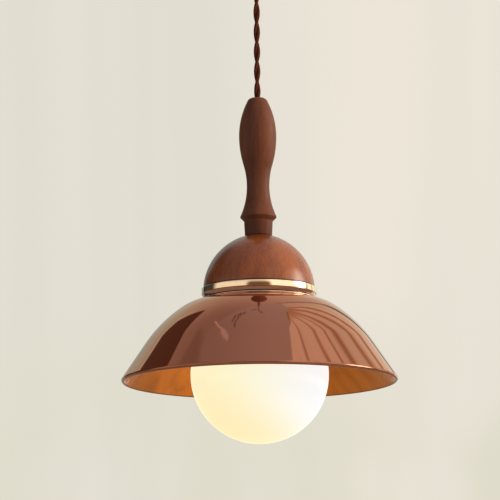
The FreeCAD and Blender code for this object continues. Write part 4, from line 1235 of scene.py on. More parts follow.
@dataclass
class CeilingFitting:
    """The wooden cup against the ceiling and what it hides, in millimetres."""

    radius: float = 50.0
    height: float = 28.0
    wall: float = 6.0
    edge_round: float = 9.0
    gland_hole: float = 5.25
    screw_drop: float = 9.0
    screw_hole: float = 2.25
    side_screw: Screw = Screw(shank=2.0, length=12.0, head=3.6, head_height=2.4,
                              drive=Drive.CROSS)
    gland_top: float = -16.0
    mouth: float = -42.0
    bore: float = 3.5
    bell: float = 1.8
    outlet: float = 7.0
    flange: Point = (9.0, 3.0)
    shank: float = 4.75
    grooves: tuple[float, ...] = (2.0, 3.2)
    groove: Point = (0.25, 0.3)
    grub: Rod = Rod(radius=1.5, length=3.95, slot=(4.0, 0.5, 1.4), softness=0.12, chamfer=0.3)
    grub_place: Point = (3.05, -34.5)
    grub_hole: float = 1.55
    block_screw: Rod = Rod(radius=1.95, length=3.0, slot=(4.2, 0.6, 1.6), softness=0.2)
    block_columns: tuple[float, ...] = (5.0, -5.0)
    block_rows: tuple[float, ...] = (19.0, 25.0)
    block_height: float = -15.0
    block_turn: float = 35.0

    def canopy(self) -> bpy.types.Object:
        """Turn the cup and drill its screw holes.

        Returns:
            The piece.
        """
        inner = self.radius - self.wall
        corner = self.radius - self.edge_round
        floor = self.wall - self.height
        outline = Profile(self.gland_hole, floor).line(self.gland_hole, -self.height)
        outline.line(corner, -self.height)
        outline.arc(self.radius, self.edge_round - self.height, corner,
                    self.edge_round - self.height)
        outline.line(self.radius, 0).line(inner, 0).line(inner, floor)
        mesh = drill(outline.turned(softness=0.5, segments=128), self.screw_hole,
                     -self.screw_drop, reach=60.0, segments=32)
        return add_piece("canopy_cup", mesh, CUP_WOOD, Body.CEILING, "canopy")

    def side_screws(self) -> bpy.types.Object:
        """Set the two domed cross-head screws.

        Returns:
            The piece.
        """
        mesh = copies(self.side_screw.mesh(), BRASS, *[
            ((side * self.radius, 0, -self.screw_drop), (0, side * 90, 0)) for side in (1, -1)])
        return add_piece("canopy_side_screws", mesh, BRASS, Body.CEILING,
                         "canopy_screws")

    def gland(self) -> bpy.types.Object:
        """Turn the outlet, with its threaded shank and its bell mouth.

        Returns:
            The piece.
        """
        top, mouth, bore, bell = self.gland_top, self.mouth, self.bore, self.bell
        seat = -self.height
        flange, flange_height = self.flange
        half, depth = self.groove
        outline = Profile(bore, top).line(bore, mouth + bell)
        outline.arc(bore + bell, mouth, bore + bell, mouth + bell).line(self.outlet, mouth)
        for rise in self.grooves:
            outline.line(self.outlet, mouth + rise - half).line(self.outlet - depth, mouth + rise)
            outline.line(self.outlet, mouth + rise + half)
        outline.line(self.outlet, seat - flange_height).line(flange, seat - flange_height)
        outline.line(flange, seat).line(self.shank, seat).line(self.shank, top)
        mesh = drill(outline.turned(softness=0.35, segments=72), self.grub_hole,
                     self.grub_place[1], reach=20.0, segments=24)
        thread = Thread(radius=self.shank - 0.05, ridge=0.3, pitch=1.0, base=seat + 0.4,
                        length=top - seat - 0.8)
        return add_piece("cord_outlet", thread.on(mesh, GOLD), GOLD, Body.CEILING,
                         "cord_gland")

    def grub_screws(self) -> bpy.types.Object:
        """Set the two headless slotted screws that grip the cord.

        Returns:
            The piece.
        """
        start, height = self.grub_place
        mesh = copies(self.grub.mesh(), BRASS, *[
            ((side * start, 0, height), (0, side * 90, 0)) for side in (1, -1)])
        return add_piece("outlet_grub_screws", mesh, BRASS, Body.CEILING, "gland_screws")

    def block_screws(self) -> bpy.types.Object:
        """Set the four slotted screws in the terminal block's wells.

        Returns:
            The piece.
        """
        mesh = copies(self.block_screw.mesh(), STEEL, *[
            ((x, y, self.block_height), (0, 0, self.block_turn * (x + y)))
            for x in self.block_columns for y in self.block_rows])
        return add_piece("block_clamp_screws", mesh, STEEL, Body.CEILING,
                         "terminal_block_screws")

    def build(self) -> None:
        """Make every piece of the fitting, and keep it out of the shade's gloss."""
        pieces = [self.canopy(), self.side_screws(), self.gland(), self.grub_screws(),
                  self.block_screws()]
        pieces += dress({"ceiling_bracket": STEEL, "terminal_block": WHITE, "gland_nut": BRASS,
                         "ceiling_leads": CORE_COVER})
        for piece in pieces:
            piece.visible_glossy = False


@dataclass
class TwistedCord:
    """Two braided cores twisted together along the light's axis, in millimetres."""

    strand: float = 1.55
    spread: float = 1.45
    lay: float = 37.6
    phase: float = 0.6
    steps_per_lay: int = 44
    around: int = 25
    top: float = -42.0
    bottom: float = -142.0
    end_gap: float = 2.6
    in_outlet: tuple[float, float] = (-13.0, -38.7)
    in_stem: tuple[float, float] = (-145.3, -292.7)

    def route(self, points: list[Place]) -> list[Place]:
        """Smooth the cord's route.

        Args:
            points: the route's control points, in metres.

        Returns:
            Points along the spline that they make.
        """
        curve = bpy.data.curves.new("route", "CURVE")
        curve.dimensions = "3D"
        spline = curve.splines.new("NURBS")
        spline.points.add(len(points) - 1)
        for point, place in zip(spline.points, points):
            point.co = (*place, 1.0)
        spline.order_u = 3
        spline.use_endpoint_u = True
        holder = bpy.data.objects.new("route", curve)
        mesh = bpy.data.meshes.new_from_object(holder)
        places = [tuple(vertex.co) for vertex in mesh.vertices]
        bpy.data.objects.remove(holder)
        return places

    def strands(self, top: float, bottom: float) -> bpy.types.Mesh:
        """Twist both strands, in step with every other stretch of the cord.

        Args:
            top: the stretch's upper end.
            bottom: its lower end.

        Returns:
            The strands' mesh.
        """
        length = top - bottom
        steps = max(6, round(length / self.lay * self.steps_per_lay))
        start = self.phase + FULL_TURN * bottom / self.lay
        both = [run_tree(HELIX, BRAIDED, height=length * MM, lay=self.lay * MM,
                         spread=self.spread * MM, bar=self.strand * MM, phase=start + half,
                         base=bottom * MM, steps=steps, around=self.around)
                for half in (0.0, math.pi)]
        for strand in both:
            close_mesh(strand)
        return join_meshes(*both)

    def build(self) -> None:
        """Make the free cord and its stretches in the gland and the stem."""
        top, bottom = self.top, self.bottom
        free = self.strands(top + self.end_gap, bottom - self.end_gap)
        hanging = add_piece("twisted_cord", free, BRAIDED, Body.CORD,
                            "hanging_cord")
        middle = (top + bottom) / 2
        path = self.route([(0, 0, top * MM), (0, 0, middle * MM), (0, 0, bottom * MM)])
        add_piece("cord_in_outlet", self.strands(*self.in_outlet), BRAIDED, Body.CEILING,
                  "ceiling_cord")
        add_piece("cord_in_stem", self.strands(*self.in_stem), BRAIDED, Body.LAMP,
                  "stem_cord")


@dataclass
class TurnedStem:
    """The turned stem, in millimetres: a point is a radius and a distance from its top."""

    top: float = -142.0
    length: float = 129.5
    top_radius: float = 7.8
    top_round: float = 1.4
    mouth_round: float = 1.6
    bore: float = 3.5
    belly: Point = (17.15, 35.9)
    waist: Point = (10.35, 82.6)
    belly_share: float = 0.57
    bead: Point = (16.6, 111.4)
    bead_round: float = 1.3
    bead_under: float = 45.0
    neck: Point = (13.1, 115.4)
    foot: float = 12.4
    socket: Point = (5.05, 17.0)

    def outline(self) -> Profile:
        """Draw the curves that the solid has.

        Returns:
            The closed outline.
        """
        belly_r, belly_z = self.belly[0], self.top - self.belly[1]
        waist_r, waist_z = self.waist[0], self.top - self.waist[1]
        bead_r, bead_z = self.bead[0], self.top - self.bead[1]
        socket_r, socket_height = self.socket
        foot_z = self.top - self.length
        rise = self.belly[1]
        inset = belly_r - self.top_radius
        upper = (inset ** 2 + rise ** 2) / (2 * inset)
        drop = belly_z - waist_z
        swing = belly_r - waist_r
        both = (swing ** 2 + drop ** 2) / (2 * swing)
        belly_arc = both * self.belly_share
        waist_arc = both - belly_arc
        middle = (belly_r - swing * self.belly_share, belly_z - drop * self.belly_share)
        edge = self.bead_round
        centre = bead_r - edge
        out, fall = centre - waist_r, waist_z - bead_z
        flare_arc = (out ** 2 + fall ** 2 - edge ** 2) / (2 * (out + edge))
        share = edge / (flare_arc + edge)
        under = math.radians(self.bead_under)
        edge_z = self.top - self.top_round
        edge_r = belly_r - upper + math.sqrt(upper ** 2 - (edge_z - belly_z) ** 2)
        mouth = self.bore + self.mouth_round
        outline = Profile(mouth, self.top).line(self.top_radius - self.top_round, self.top)
        outline.line(edge_r, edge_z)
        outline.arc(belly_r, belly_z, belly_r - upper, belly_z, clockwise=True)
        outline.arc(*middle, belly_r - belly_arc, belly_z, clockwise=True)
        outline.arc(waist_r, waist_z, waist_r + waist_arc, waist_z)
        outline.arc(centre + (flare_arc - out) * share, bead_z + fall * share,
                    waist_r + flare_arc, waist_z)
        outline.arc(centre + edge * math.cos(under), bead_z - edge * math.sin(under),
                    centre, bead_z, clockwise=True)
        outline.line(self.neck[0], self.top - self.neck[1]).line(self.foot, foot_z)
        outline.line(socket_r, foot_z).line(socket_r, foot_z + socket_height)
        outline.line(self.bore, foot_z + socket_height)
        outline.line(self.bore, self.top - self.mouth_round)
        return outline.arc(mouth, self.top, mouth, self.top - self.mouth_round, clockwise=True)

    def build(self) -> None:
        """Turn the stem."""
        mesh = self.outline().turned(softness=0.6, segments=112)
        add_piece("turned_stem", mesh, STEM_WOOD, Body.LAMP, "stem")


@dataclass
class TurnedDome:
    """The hollow dome and the metal collar at its foot, in millimetres."""

    seat: float = -271.5
    web: float = -326.9
    arc: float = 52.6
    offset: float = 1.9
    seat_radius: float = 12.7
    wall: float = 7.0
    rebate: float = 7.6
    hole: float = 5.25
    collar: float = 52.2
    collar_wall: float = 2.0
    collar_rise: float = 7.2
    edge_round: float = 0.5
    web_gauge: float = 1.2
    lip_drop: float = 1.5
    lip: float = 50.2
    lip_wall: float = 1.3
    band_height: float = 5.4
    step: float = 51.6
    lean: float = 1.1
    bead: float = 0.3
    bead_radius: float = 51.75
    bead_drop: float = 0.3
    collar_hole: float = 20.0
    shoulder_gap: float = 0.3

    def dome(self) -> None:
        """Turn the dome."""
        centre_z = self.seat - math.sqrt(self.arc ** 2 - (self.seat_radius + self.offset) ** 2)
        inner = self.arc - self.wall
        ceiling = self.seat - self.wall
        step = self.web + self.rebate
        step_radius = self.collar - self.collar_wall - self.shoulder_gap
        edge = -self.offset + math.sqrt(self.arc ** 2 - (step - centre_z) ** 2)
        top = -self.offset + math.sqrt(inner ** 2 - (ceiling - centre_z) ** 2)
        foot = -self.offset + math.sqrt(inner ** 2 - (self.web - centre_z) ** 2)
        outline = Profile(self.hole, ceiling).line(top, ceiling)
        outline.arc(foot, self.web, -self.offset, centre_z, clockwise=True)
        outline.line(step_radius, self.web).line(step_radius, step).line(edge, step)
        outline.arc(self.seat_radius, self.seat, -self.offset, centre_z)
        outline.line(self.hole, self.seat)
        mesh = outline.turned(softness=0.3, segments=144)
        add_piece("turned_dome", mesh, DOME_WOOD, Body.LAMP, "dome")

    def pan(self) -> None:
        """Turn the collar: a band, a face that leans in under it and a fine bead at the glass."""
        top = self.web + self.collar_rise
        under = self.web - self.web_gauge
        lip_z = under - self.lip_drop
        bore = self.collar - self.collar_wall
        inner_lip = self.lip - self.lip_wall
        band_z = top - self.band_height
        bead_z = lip_z - self.bead_drop
        outline = Profile(self.collar_hole, self.web).line(self.collar_hole, under)
        outline.line(inner_lip, under).line(inner_lip, lip_z).line(self.lip, lip_z)
        outline.line(self.bead_radius, bead_z - self.bead)
        outline.arc(self.bead_radius, bead_z + self.bead, self.bead_radius, bead_z)
        outline.line(self.step - self.lean, lip_z + self.lean)
        outline.line(self.step, band_z).line(self.collar, band_z)
        outline.line(self.collar, top - self.edge_round)
        outline.arc(self.collar - self.edge_round, top, self.collar - self.edge_round,
                    top - self.edge_round)
        outline.line(bore, top).line(bore, self.web)
        mesh = outline.turned(softness=0.2, segments=160)
        add_piece("gold_collar", mesh, RING_GOLD, Body.LAMP, "collar")

    def build(self) -> None:
        """Make both turned pieces."""
        self.dome()
        self.pan()


@dataclass
class GlassShade:
    """The blown shade and its two felt rings, in millimetres."""

    top: float = -329.6
    glass: float = 4.0
    hole: float = 21.0
    radius: float = 125.0
    flat: float = 43.3
    shoulder: float = 49.5
    shoulder_angle: float = 35.0
    flank: float = 125.22
    wall_angle: float = 56.2

    def outline(self) -> Profile:
        """Draw a flat top, two curves, a straight wall and a round rim.

        Returns:
            The closed outline.
        """
        bend_sine, bend_cosine = self._turn(self.shoulder_angle)
        slope_sine, slope_cosine = self._turn(self.wall_angle)
        first, second = self.shoulder, self.flank
        half = self.glass / 2
        rim_r = self.radius - half
        first_z = self.top - first
        second_r = self.flat + (first - second) * bend_sine
        second_z = first_z + (first - second) * bend_cosine
        wall_r = second_r + second * slope_sine
        wall_z = second_z + second * slope_cosine
        length = (rim_r + half * slope_sine - wall_r) / slope_cosine
        rim_z = wall_z - length * slope_sine - half * slope_cosine
        inner, far = first - self.glass, second - self.glass
        outline = Profile(self.hole, self.top).line(self.flat, self.top)
        outline.arc(self.flat + first * bend_sine, first_z + first * bend_cosine, self.flat,
                    first_z, clockwise=True)
        outline.arc(wall_r, wall_z, second_r, second_z, clockwise=True)
        outline.line(rim_r + half * slope_sine, rim_z + half * slope_cosine)
        outline.arc(rim_r - half * slope_sine, rim_z - half * slope_cosine, rim_r, rim_z,
                    clockwise=True)
        outline.line(second_r + far * slope_sine, second_z + far * slope_cosine)
        outline.arc(self.flat + inner * bend_sine, first_z + inner * bend_cosine, second_r,
                    second_z)
        outline.arc(self.flat, self.top - self.glass, self.flat, first_z)
        return outline.line(self.hole, self.top - self.glass)

    @staticmethod
    def _turn(degrees: float) -> tuple[float, float]:
        """Sine and cosine of an angle."""
        return math.sin(math.radians(degrees)), math.cos(math.radians(degrees))

    def build(self) -> None:
        """Make the shade and dress the felt."""
        mesh = self.outline().turned(softness=0.6, segments=192)
        add_piece("glass_shade", mesh, SHADE_GLASS, Body.LAMP, "shade")
        dress({"upper_gasket": WOOL, "lower_gasket": WOOL})


@dataclass
class LampHolder:
    """The lampholder on the collar, its tube and its clamp ring, in millimetres."""

    web: float = -326.9
    radius: float = 19.75
    wall: float = 2.55
    skirt_drop: float = 10.3
    skirt_rise: float = 20.2
    skirt_thread: float = 0.35
    shoulder: Point = (22.5, 2.5)
    ledge: Point = (15.0, 1.5)
    cap_height: float = 22.5
    cap_round: float = 10.5
    boss: Point = (7.5, 5.0)
    grips: int = 36
    grip: Place = (0.9, 1.3, 8.0)
    grip_rise: float = 6.0
    grip_stand: float = 0.05
    nipple: Point = (5.0, 3.7)
    nipple_ends: tuple[float, float] = (-289.2, -256.5)
    nipple_thread: float = 0.3
    shell: float = 13.8
    shell_wall: float = 0.4
    shell_length: float = 25.3
    shell_flange: float = 0.5
    shell_hole: float = 3.2
    pitch: float = 3.63
    thread_sink: float = 0.05
    terminal_screw: Screw = Screw(shank=1.5, length=3.6, head=2.2, head_height=1.6,
                                  drive=Drive.SLOT)
    terminal_place: Point = (11.0, -293.1)
    terminal_turn: float = 40.0
    clamp_screw: Screw = Screw(shank=1.25, length=7.0, head=2.3, head_height=1.6,
                               drive=Drive.CROSS)
    clamp_place: Point = (10.2, -289.7)
    clamp_turn: float = 3.0

    def skirt(self) -> None:
        """Turn the lower half of the case, threaded outside for the clamp ring."""
        bore = self.radius - self.wall
        low = self.web - self.skirt_drop
        top = self.web + self.skirt_rise
        core = self.radius - self.skirt_thread
        flange, flange_z = self.shoulder[0], self.web + self.shoulder[1]
        ledge, ledge_z = self.ledge[0], top - self.ledge[1]
        outline = Profile(bore, low).line(core, low).line(core, self.web).line(flange, self.web)
        outline.line(flange, flange_z).line(self.radius, flange_z).line(self.radius, top)
        outline.line(ledge, top).line(ledge, ledge_z).line(bore, ledge_z)
        thread = Thread(radius=core - self.thread_sink, ridge=0.38, pitch=2.0, base=low + 0.7,
                        length=self.skirt_drop - 1.4, steps_per_turn=72)
        mesh = thread.on(outline.turned(softness=0.35, segments=96), BLACK)
        add_piece("case_skirt", mesh, BLACK, Body.LAMP, "holder_skirt")

    def cap(self) -> None:
        """Turn the upper half of the case, with grip ribs round its wall."""
        base = self.web + self.skirt_rise
        bore = self.radius - self.wall
        top = base + self.cap_height
        centre = self.radius - self.cap_round
        middle = top - self.cap_round
        roof = top - self.wall
        hole = self.nipple[0] + 0.05
        boss, boss_z = self.boss[0], top - self.boss[1]
        outline = Profile(bore, base).line(self.radius, base).line(self.radius, middle)
        outline.arc(centre, top, centre, middle).line(hole, top).line(hole, boss_z)
        outline.line(boss, boss_z).line(boss, roof).line(centre, roof)
        outline.arc(bore, middle, centre, middle, clockwise=True)
        depth, width, height = self.grip
        ribs = run_tree(RIBS, BLACK, count=self.grips, radius=(self.radius + self.grip_stand) * MM,
                        depth=depth * MM, width=width * MM, height=height * MM,
                        base=(base + self.grip_rise) * MM)
        close_mesh(ribs)
        mesh = join_meshes(outline.turned(softness=0.35, segments=96), ribs)
        add_piece("case_cap", mesh, BLACK, Body.LAMP, "holder_cap")

    def screw_shell(self) -> None:
        """Turn the thin shell, its thread rolled outwards so that the bulb's thread clears it."""
        top = self.web + self.skirt_rise
        bore = self.shell - self.shell_wall
        flange = top - self.shell_flange
        low = top - self.shell_length
        outline = Profile(self.shell_hole, top).line(self.shell_hole, flange)
        outline.line(bore, flange).line(bore, low).line(self.shell, low).line(self.shell, top)
        thread = Thread(radius=self.shell - 0.15, ridge=0.6, pitch=self.pitch, base=low + 1.2,
                        length=self.shell_length - 3.0, steps_per_turn=56, around=11)
        mesh = thread.on(outline.turned(softness=0.15, segments=80), BRASS)
        add_piece("threaded_shell", mesh, BRASS, Body.LAMP, "screw_shell")

    def tube(self) -> None:
        """Turn the threaded tube through the holder's boss, the dome and the stem's foot."""
        low, top = self.nipple_ends
        outer, bore = self.nipple
        core = outer - self.nipple_thread
        outline = Profile(bore, low).line(core, low).line(core, top).line(bore, top)
        thread = Thread(radius=core - self.thread_sink, ridge=0.34, pitch=1.0, base=low + 0.4,
                        length=top - low - 0.8, steps_per_turn=36, around=7)
        mesh = thread.on(outline.turned(softness=0.3, segments=48), STEEL)
        add_piece("threaded_tube", mesh, STEEL, Body.LAMP, "nipple")

    def small_screws(self) -> None:
        """Set the screws of the terminals and of the cord clamp."""
        out, height = self.terminal_place
        mesh = copies(self.terminal_screw.mesh(), STEEL, *[
            ((x, 0, height), (0, 0, self.terminal_turn + x)) for x in (out, -out)])
        add_piece("core_terminal_screws", mesh, STEEL, Body.LAMP, "terminal_screws")
        out, height = self.clamp_place
        mesh = copies(self.clamp_screw.mesh(), STEEL, *[
            ((0, y, height), (0, 0, self.clamp_turn * y)) for y in (out, -out)])
        add_piece("cord_clamp_screws", mesh, STEEL, Body.LAMP, "clamp_screws")

    def build(self) -> None:
        """Make and dress every piece of the holder."""
        self.skirt()
        self.cap()
        self.screw_shell()
        self.tube()
        self.small_screws()
        dress({"shade_ring": BLACK, "holder_insert": CERAMIC, "holder_terminals": BRASS,
               "cord_clamp": BLACK, "nipple_nut": BRASS, "nipple_washer": STEEL,
               "lamp_leads": CORE_COVER, "centre_plunger": BRASS, "plunger_spring": STEEL})


@dataclass
class GlobeBulb:
    """The lit globe bulb, in millimetres."""

    centre: float = -398.5
    radius: float = 62.5
    wall: float = 1.2
    neck: float = 15.6
    neck_rise: float = 63.5
    housing: float = 16.3
    housing_drop: float = 1.5
    plate: float = 2.0
    spigot: Point = (12.6, 6.0)
    gap: float = 0.25
    cap: float = 13.1
    cap_wall: float = 0.4
    cap_length: float = 18.5
    cap_taper: float = 1.6
    cap_mouth: float = 10.6
    ridge: float = 0.55
    pitch: float = 3.63

    def globe(self) -> None:
        """Blow the opal glass."""
        inner_neck = self.neck - self.wall
        inner = self.radius - self.wall
        bottom = self.centre - self.radius
        start = self.centre + math.sqrt(self.radius ** 2 - self.neck ** 2)
        mouth = self.centre + self.neck_rise
        inside = self.centre + math.sqrt(inner ** 2 - inner_neck ** 2)
        outline = Profile(0.0, bottom).arc(self.neck, start, 0.0, self.centre)
        outline.line(self.neck, mouth).line(inner_neck, mouth).line(inner_neck, inside)
        outline.arc(0.0, bottom + self.wall, 0.0, self.centre, clockwise=True)
        mesh = lathe(outline.points, segments=144)
        add_piece("opal_globe", mesh, OPAL, Body.BULB, "bulb_globe")

    def neck_housing(self, plate_z: float, cap_z: float) -> None:
        """Turn the plastic housing between the glass and the cap.

        Args:
            plate_z: the height of its plate's underside.
            cap_z: the height of the cap's rim.
        """
        low = plate_z - self.gap - self.housing_drop
        bore = self.neck + self.gap
        spigot, spigot_z = self.spigot[0], cap_z + self.spigot[1]
        outline = Profile(0.0, plate_z).line(bore, plate_z).line(bore, low)
        outline.line(self.housing, low).line(self.housing, cap_z).line(spigot, cap_z)
        outline.line(spigot, spigot_z).line(0.0, spigot_z)
        mesh = outline.turned(softness=0.4, segments=80)
        add_piece("bulb_housing", mesh, WHITE, Body.BULB, "bulb_neck")

    def screw_cap(self, cap_z: float) -> None:
        """Turn the threaded cap.

        Args:
            cap_z: the height of its rim.
        """
        core = self.cap - self.ridge
        inner = core - self.cap_wall
        straight = cap_z + self.cap_length
        end = straight + self.cap_taper
        mouth = self.cap_mouth - self.cap_wall
        outline = Profile(inner, cap_z).line(core, cap_z).line(core, straight)
        outline.line(self.cap_mouth, end).line(mouth, end).line(mouth, straight)
        outline.line(inner, straight)
        thread = Thread(radius=core - 0.02, ridge=self.ridge, pitch=self.pitch, base=cap_z + 1.6,
                        length=self.cap_length - 2.6, steps_per_turn=56, around=11)
        mesh = thread.on(outline.turned(softness=0.2, segments=80), CAP_METAL)
        add_piece("threaded_cap", mesh, CAP_METAL, Body.BULB, "bulb_cap")

    def build(self) -> None:
        """Make and dress the bulb."""
        plate_z = self.centre + self.neck_rise + self.gap
        cap_z = plate_z + self.plate
        self.globe()
        self.neck_housing(plate_z, cap_z)
        self.screw_cap(cap_z)
        dress({"bulb_insulator": DARK_GLASS, "bulb_tip": BRASS, "led_board": WHITE})


Strokes = tuple[tuple[float, float, float, float], ...]


@dataclass(frozen=True)
class Room:
    """The plain room that the shade's gloss shows, laid out in degrees from straight up.

    In its plan, x runs to the right and y to the back. A stroke is its start and its end, and a
    fold of the curtain is its direction and its half widths to both sides.
    """

    window: float = 9.5
    ceiling_tint: Colour = (0.96, 1.0, 1.1)
    shaded_tint: Colour = (1.04, 0.98, 0.96)
    wall_tint: Colour = (0.97, 1.02, 0.93)
    dim_tint: Colour = (0.82, 1.02, 0.93)
    valley_tint: Colour = (1.04, 0.8, 0.58)
    ridge_tint: Colour = (1.0, 1.03, 0.93)
    front_tint: Colour = (1.0, 0.94, 0.88)
    lens_tint: Colour = (1.0, 0.55, 0.25)
    window_way: Place = (0.965, 0.034, 0.259)
    curtain_corner: Point = (20.5, 19.8)
    hem_corner: Point = (13.9, 15.0)
    hem_end: float = 9.0
    gather: Point = (10.0, 10.5)
    door_corner: Point = (-21.8, 28.5)
    door_top: Point = (-29.0, 42.8)
    streak: Strokes = (
        (-23.3, 6.2, -23.0, -1.5), (-23.0, -1.5, -21.4, -6.5), (-21.4, -6.5, -18.4, -9.8))
    twigs: Strokes = (
        (-7.0, 6.8, -8.3, 4.4), (-8.3, 4.4, -10.8, 5.4), (-10.8, 5.4, -11.3, 1.2),
        (-11.3, 1.2, -14.0, -3.5), (-12.8, 3.0, -15.2, -1.5), (-14.0, -3.5, -14.6, -8.5),
        (-1.7, 8.7, -3.4, 8.2), (0.2, 6.6, 1.6, 4.2), (-9.4, 6.6, -9.9, 3.0),
        (-12.2, 5.2, -13.6, 1.8))
    hanger: Strokes = ((-0.5, 19.0, -0.2, 7.0),)
    folds: tuple[Place, ...] = (
        (-51.0, 4.0, 3.0), (-22.0, 5.0, 6.0), (-1.0, 4.0, 3.0), (16.0, 9.0, 7.0),
        (42.0, 8.0, 6.0), (58.0, 5.0, 5.0))

    def view(self, graph: Graph, across: Port, depth: Port, height: Port) -> tuple[Port, Port]:
        """Draw what a direction shows.

        Args:
            graph: the world's graph.
            across: the direction's part to the right.
            depth: its part away from the camera.
            height: its part upwards.

        Returns:
            A colour and a brightness.
        """
        level = (across * across + depth * depth).math("SQRT").at_least(0.001)
        angle = height.math("ARCCOSINE") * (360 / FULL_TURN)
        x = angle * across / level
        y = angle * depth / level
        rays = graph.noise(graph.point(across / level, depth / level, 0.0), scale=9.0,
                           roughness=0.6)
        tint, room = self.walls(graph, x, y, rays)
        tint, room = self.hang_curtain(graph, x, y, tint, room)
        room = self.draw_strokes(graph, x, y, room)
        room = self.shade_door(x, y, angle, depth / across.absolute().at_least(0.02), room)
        front = height.ramp(0.4, 0.2) * depth.ramp(0.3, 0.0)
        front_room = across.ramp(0.0, 0.5) * 0.4 + 0.98
        room = room + front * (front_room - room)
        lens = (depth * -1.0).ramp(0.88, 0.95) * height.ramp(0.32, 0.12) * 0.85
        right, back, up = self.window_way
        window = (across * right + depth * back + height * up).ramp(0.95, 0.995) * self.window
        tint = graph.mix(lens, graph.mix(front, tint, self.front_tint), self.lens_tint)
        return tint, room * (1.0 - lens) + window

    def walls(self, graph: Graph, x: Port, y: Port, rays: Port) -> tuple[Port, Port]:
        """Draw the ceiling, in two tones, and the back wall, with its faint upright streaks.

        Args:
            graph: the world's graph.
            x: degrees to the right.
            y: degrees to the back.
            rays: a noise that changes round the room.

        Returns:
            A colour and a brightness.
        """
        right = x.ramp(-20.0, 12.0)
        rise = y.ramp(10.0, 38.0)
        fall = y.ramp(50.0, 78.0)
        upper = right * 0.32 + 0.48 + rise * (0.26 - right * 0.1) - fall * (0.35 - right * 0.1)
        lower = x.ramp(-32.0, 12.0) * 0.24 + 0.53
        above = (y - 12.9 - (x + 3.0) * 0.5).ramp(-1.5, 2.0)
        upper_tint = graph.mix(y.ramp(18.0, 48.0), self.shaded_tint, self.wall_tint)
        dim = x.ramp(-8.0, -28.0) * y.ramp(35.0, 50.0)
        upper_tint = graph.mix(dim, upper_tint, self.dim_tint)
        streaks = (rays - 0.5) * rise * 0.3 + 1.0
        brightness = (lower + above * (upper - lower)) * streaks
        return graph.mix(above, self.ceiling_tint, upper_tint), brightness

    def hang_curtain(self, graph: Graph, x: Port, y: Port, tint: Port,
                     room: Port) -> tuple[Port, Port]:
        """Hang the curtain, with a post at its corner and a dark edge at its hem.

        Args:
            graph: the world's graph.
            x: degrees to the right.
            y: degrees to the back.
            tint: the colour behind it.
            room: the brightness behind it.

        Returns:
            The colour and the brightness with it.
        """
        corner_x, corner_y = self.curtain_corner
        hem_x, hem_y = self.hem_corner
        swing = ((corner_y - y) / 12.0).math("EXPONENT") * 12.1
        corner = x - corner_x + swing
        hem_back = (y - hem_y).at_least(0.0) * 0.8
        hem_front = (self.hem_end - y).at_least(0.0).at_most(12.0) * 0.31
        hem = x - hem_x + hem_back - hem_front
        area = corner.ramp(0.0, 1.5).at_most(hem.ramp(-0.4, 0.6))
        cloth_tint, cloth = self.cloth(graph, x, y)
        room = room + area * (cloth - room)
        post_width = y.ramp(44.0, 62.0) * 2.2 + 0.7
        post = (corner.absolute() / post_width).ramp(1.0, 0.4) * y.ramp(17.0, 21.0)
        post_dark = y.ramp(40.0, 55.0) * 0.2 + 0.55
        room = room * (1.0 - post * post_dark)
        edge = hem.absolute().ramp(0.6, 0.2) * y.ramp(11.0, 9.0) * y.ramp(-9.0, 3.0) * 0.5
        return graph.mix(area, tint, cloth_tint), room * (1.0 - edge)

    def cloth(self, graph: Graph, x: Port, y: Port) -> tuple[Port, Port]:
        """Fan the curtain's folds out from its near end.

        Args:
            graph: the world's graph.
            x: degrees to the right.
            y: degrees to the back.

        Returns:
            The cloth's colour and brightness.
        """
        out, back = x - self.gather[0], y - self.gather[1]
        reach = (out * out + back * back).math("SQRT")
        turn = back.math("ARCTAN2", out) * (360 / FULL_TURN)
        fine = graph.noise(graph.point(turn * 0.25, reach * 0.04, 3.0), scale=1.0, detail=2.0,
                           roughness=0.6) - 0.5
        drape = graph.noise(graph.point(reach * 0.15, 0.0, 0.0), scale=1.0) - 0.5
        bent = turn + fine * 4.0 + drape * 5.0
        valley = None
        for place, before, after in self.folds:
            off = bent - place
            fold = (off * -1.0 / before).at_least(off / after).ramp(1.0, 0.1)
            valley = fold if valley is None else valley.at_least(fold)
        depth = reach.ramp(4.0, 14.0)
        relief = 0.5 + turn.ramp(15.0, -10.0) * 0.15 - valley * 0.65
        folded = 0.78 + depth * relief + fine * 0.45
        flat = fine * 0.2 + 1.08
        plain = turn.ramp(60.0, 70.0)
        tint = graph.mix((valley * 0.9 + 1.0 - depth).clamped(), self.ridge_tint, self.valley_tint)
        return graph.mix(plain, tint, self.wall_tint), folded + plain * (flat - folded)

    def draw_strokes(self, graph: Graph, x: Port, y: Port, room: Port) -> Port:
        """Draw a pale streak, dark twigs, a hanger and a darker left end.

        Args:
            graph: the world's graph.
            x: degrees to the right.
            y: degrees to the back.
            room: the brightness behind them.

        Returns:
            The brightness with them.
        """
        blots = graph.noise(graph.point(x, y, 0.0), scale=0.5, detail=2.0) - 0.5
        pale = self.strokes(x + blots * 0.8, y, self.streak, width=0.8) * 0.5
        dark = self.strokes(x + blots, y + blots, self.twigs, width=0.75) * 0.6
        dark = dark.at_least(self.strokes(x, y, self.hanger, width=0.6) * 0.5)
        left_end = x.ramp(-29.5, -32.5) * y.ramp(10.0, 6.0) * 0.28
        return (room + pale) * (1.0 - dark) * (1.0 - left_end)

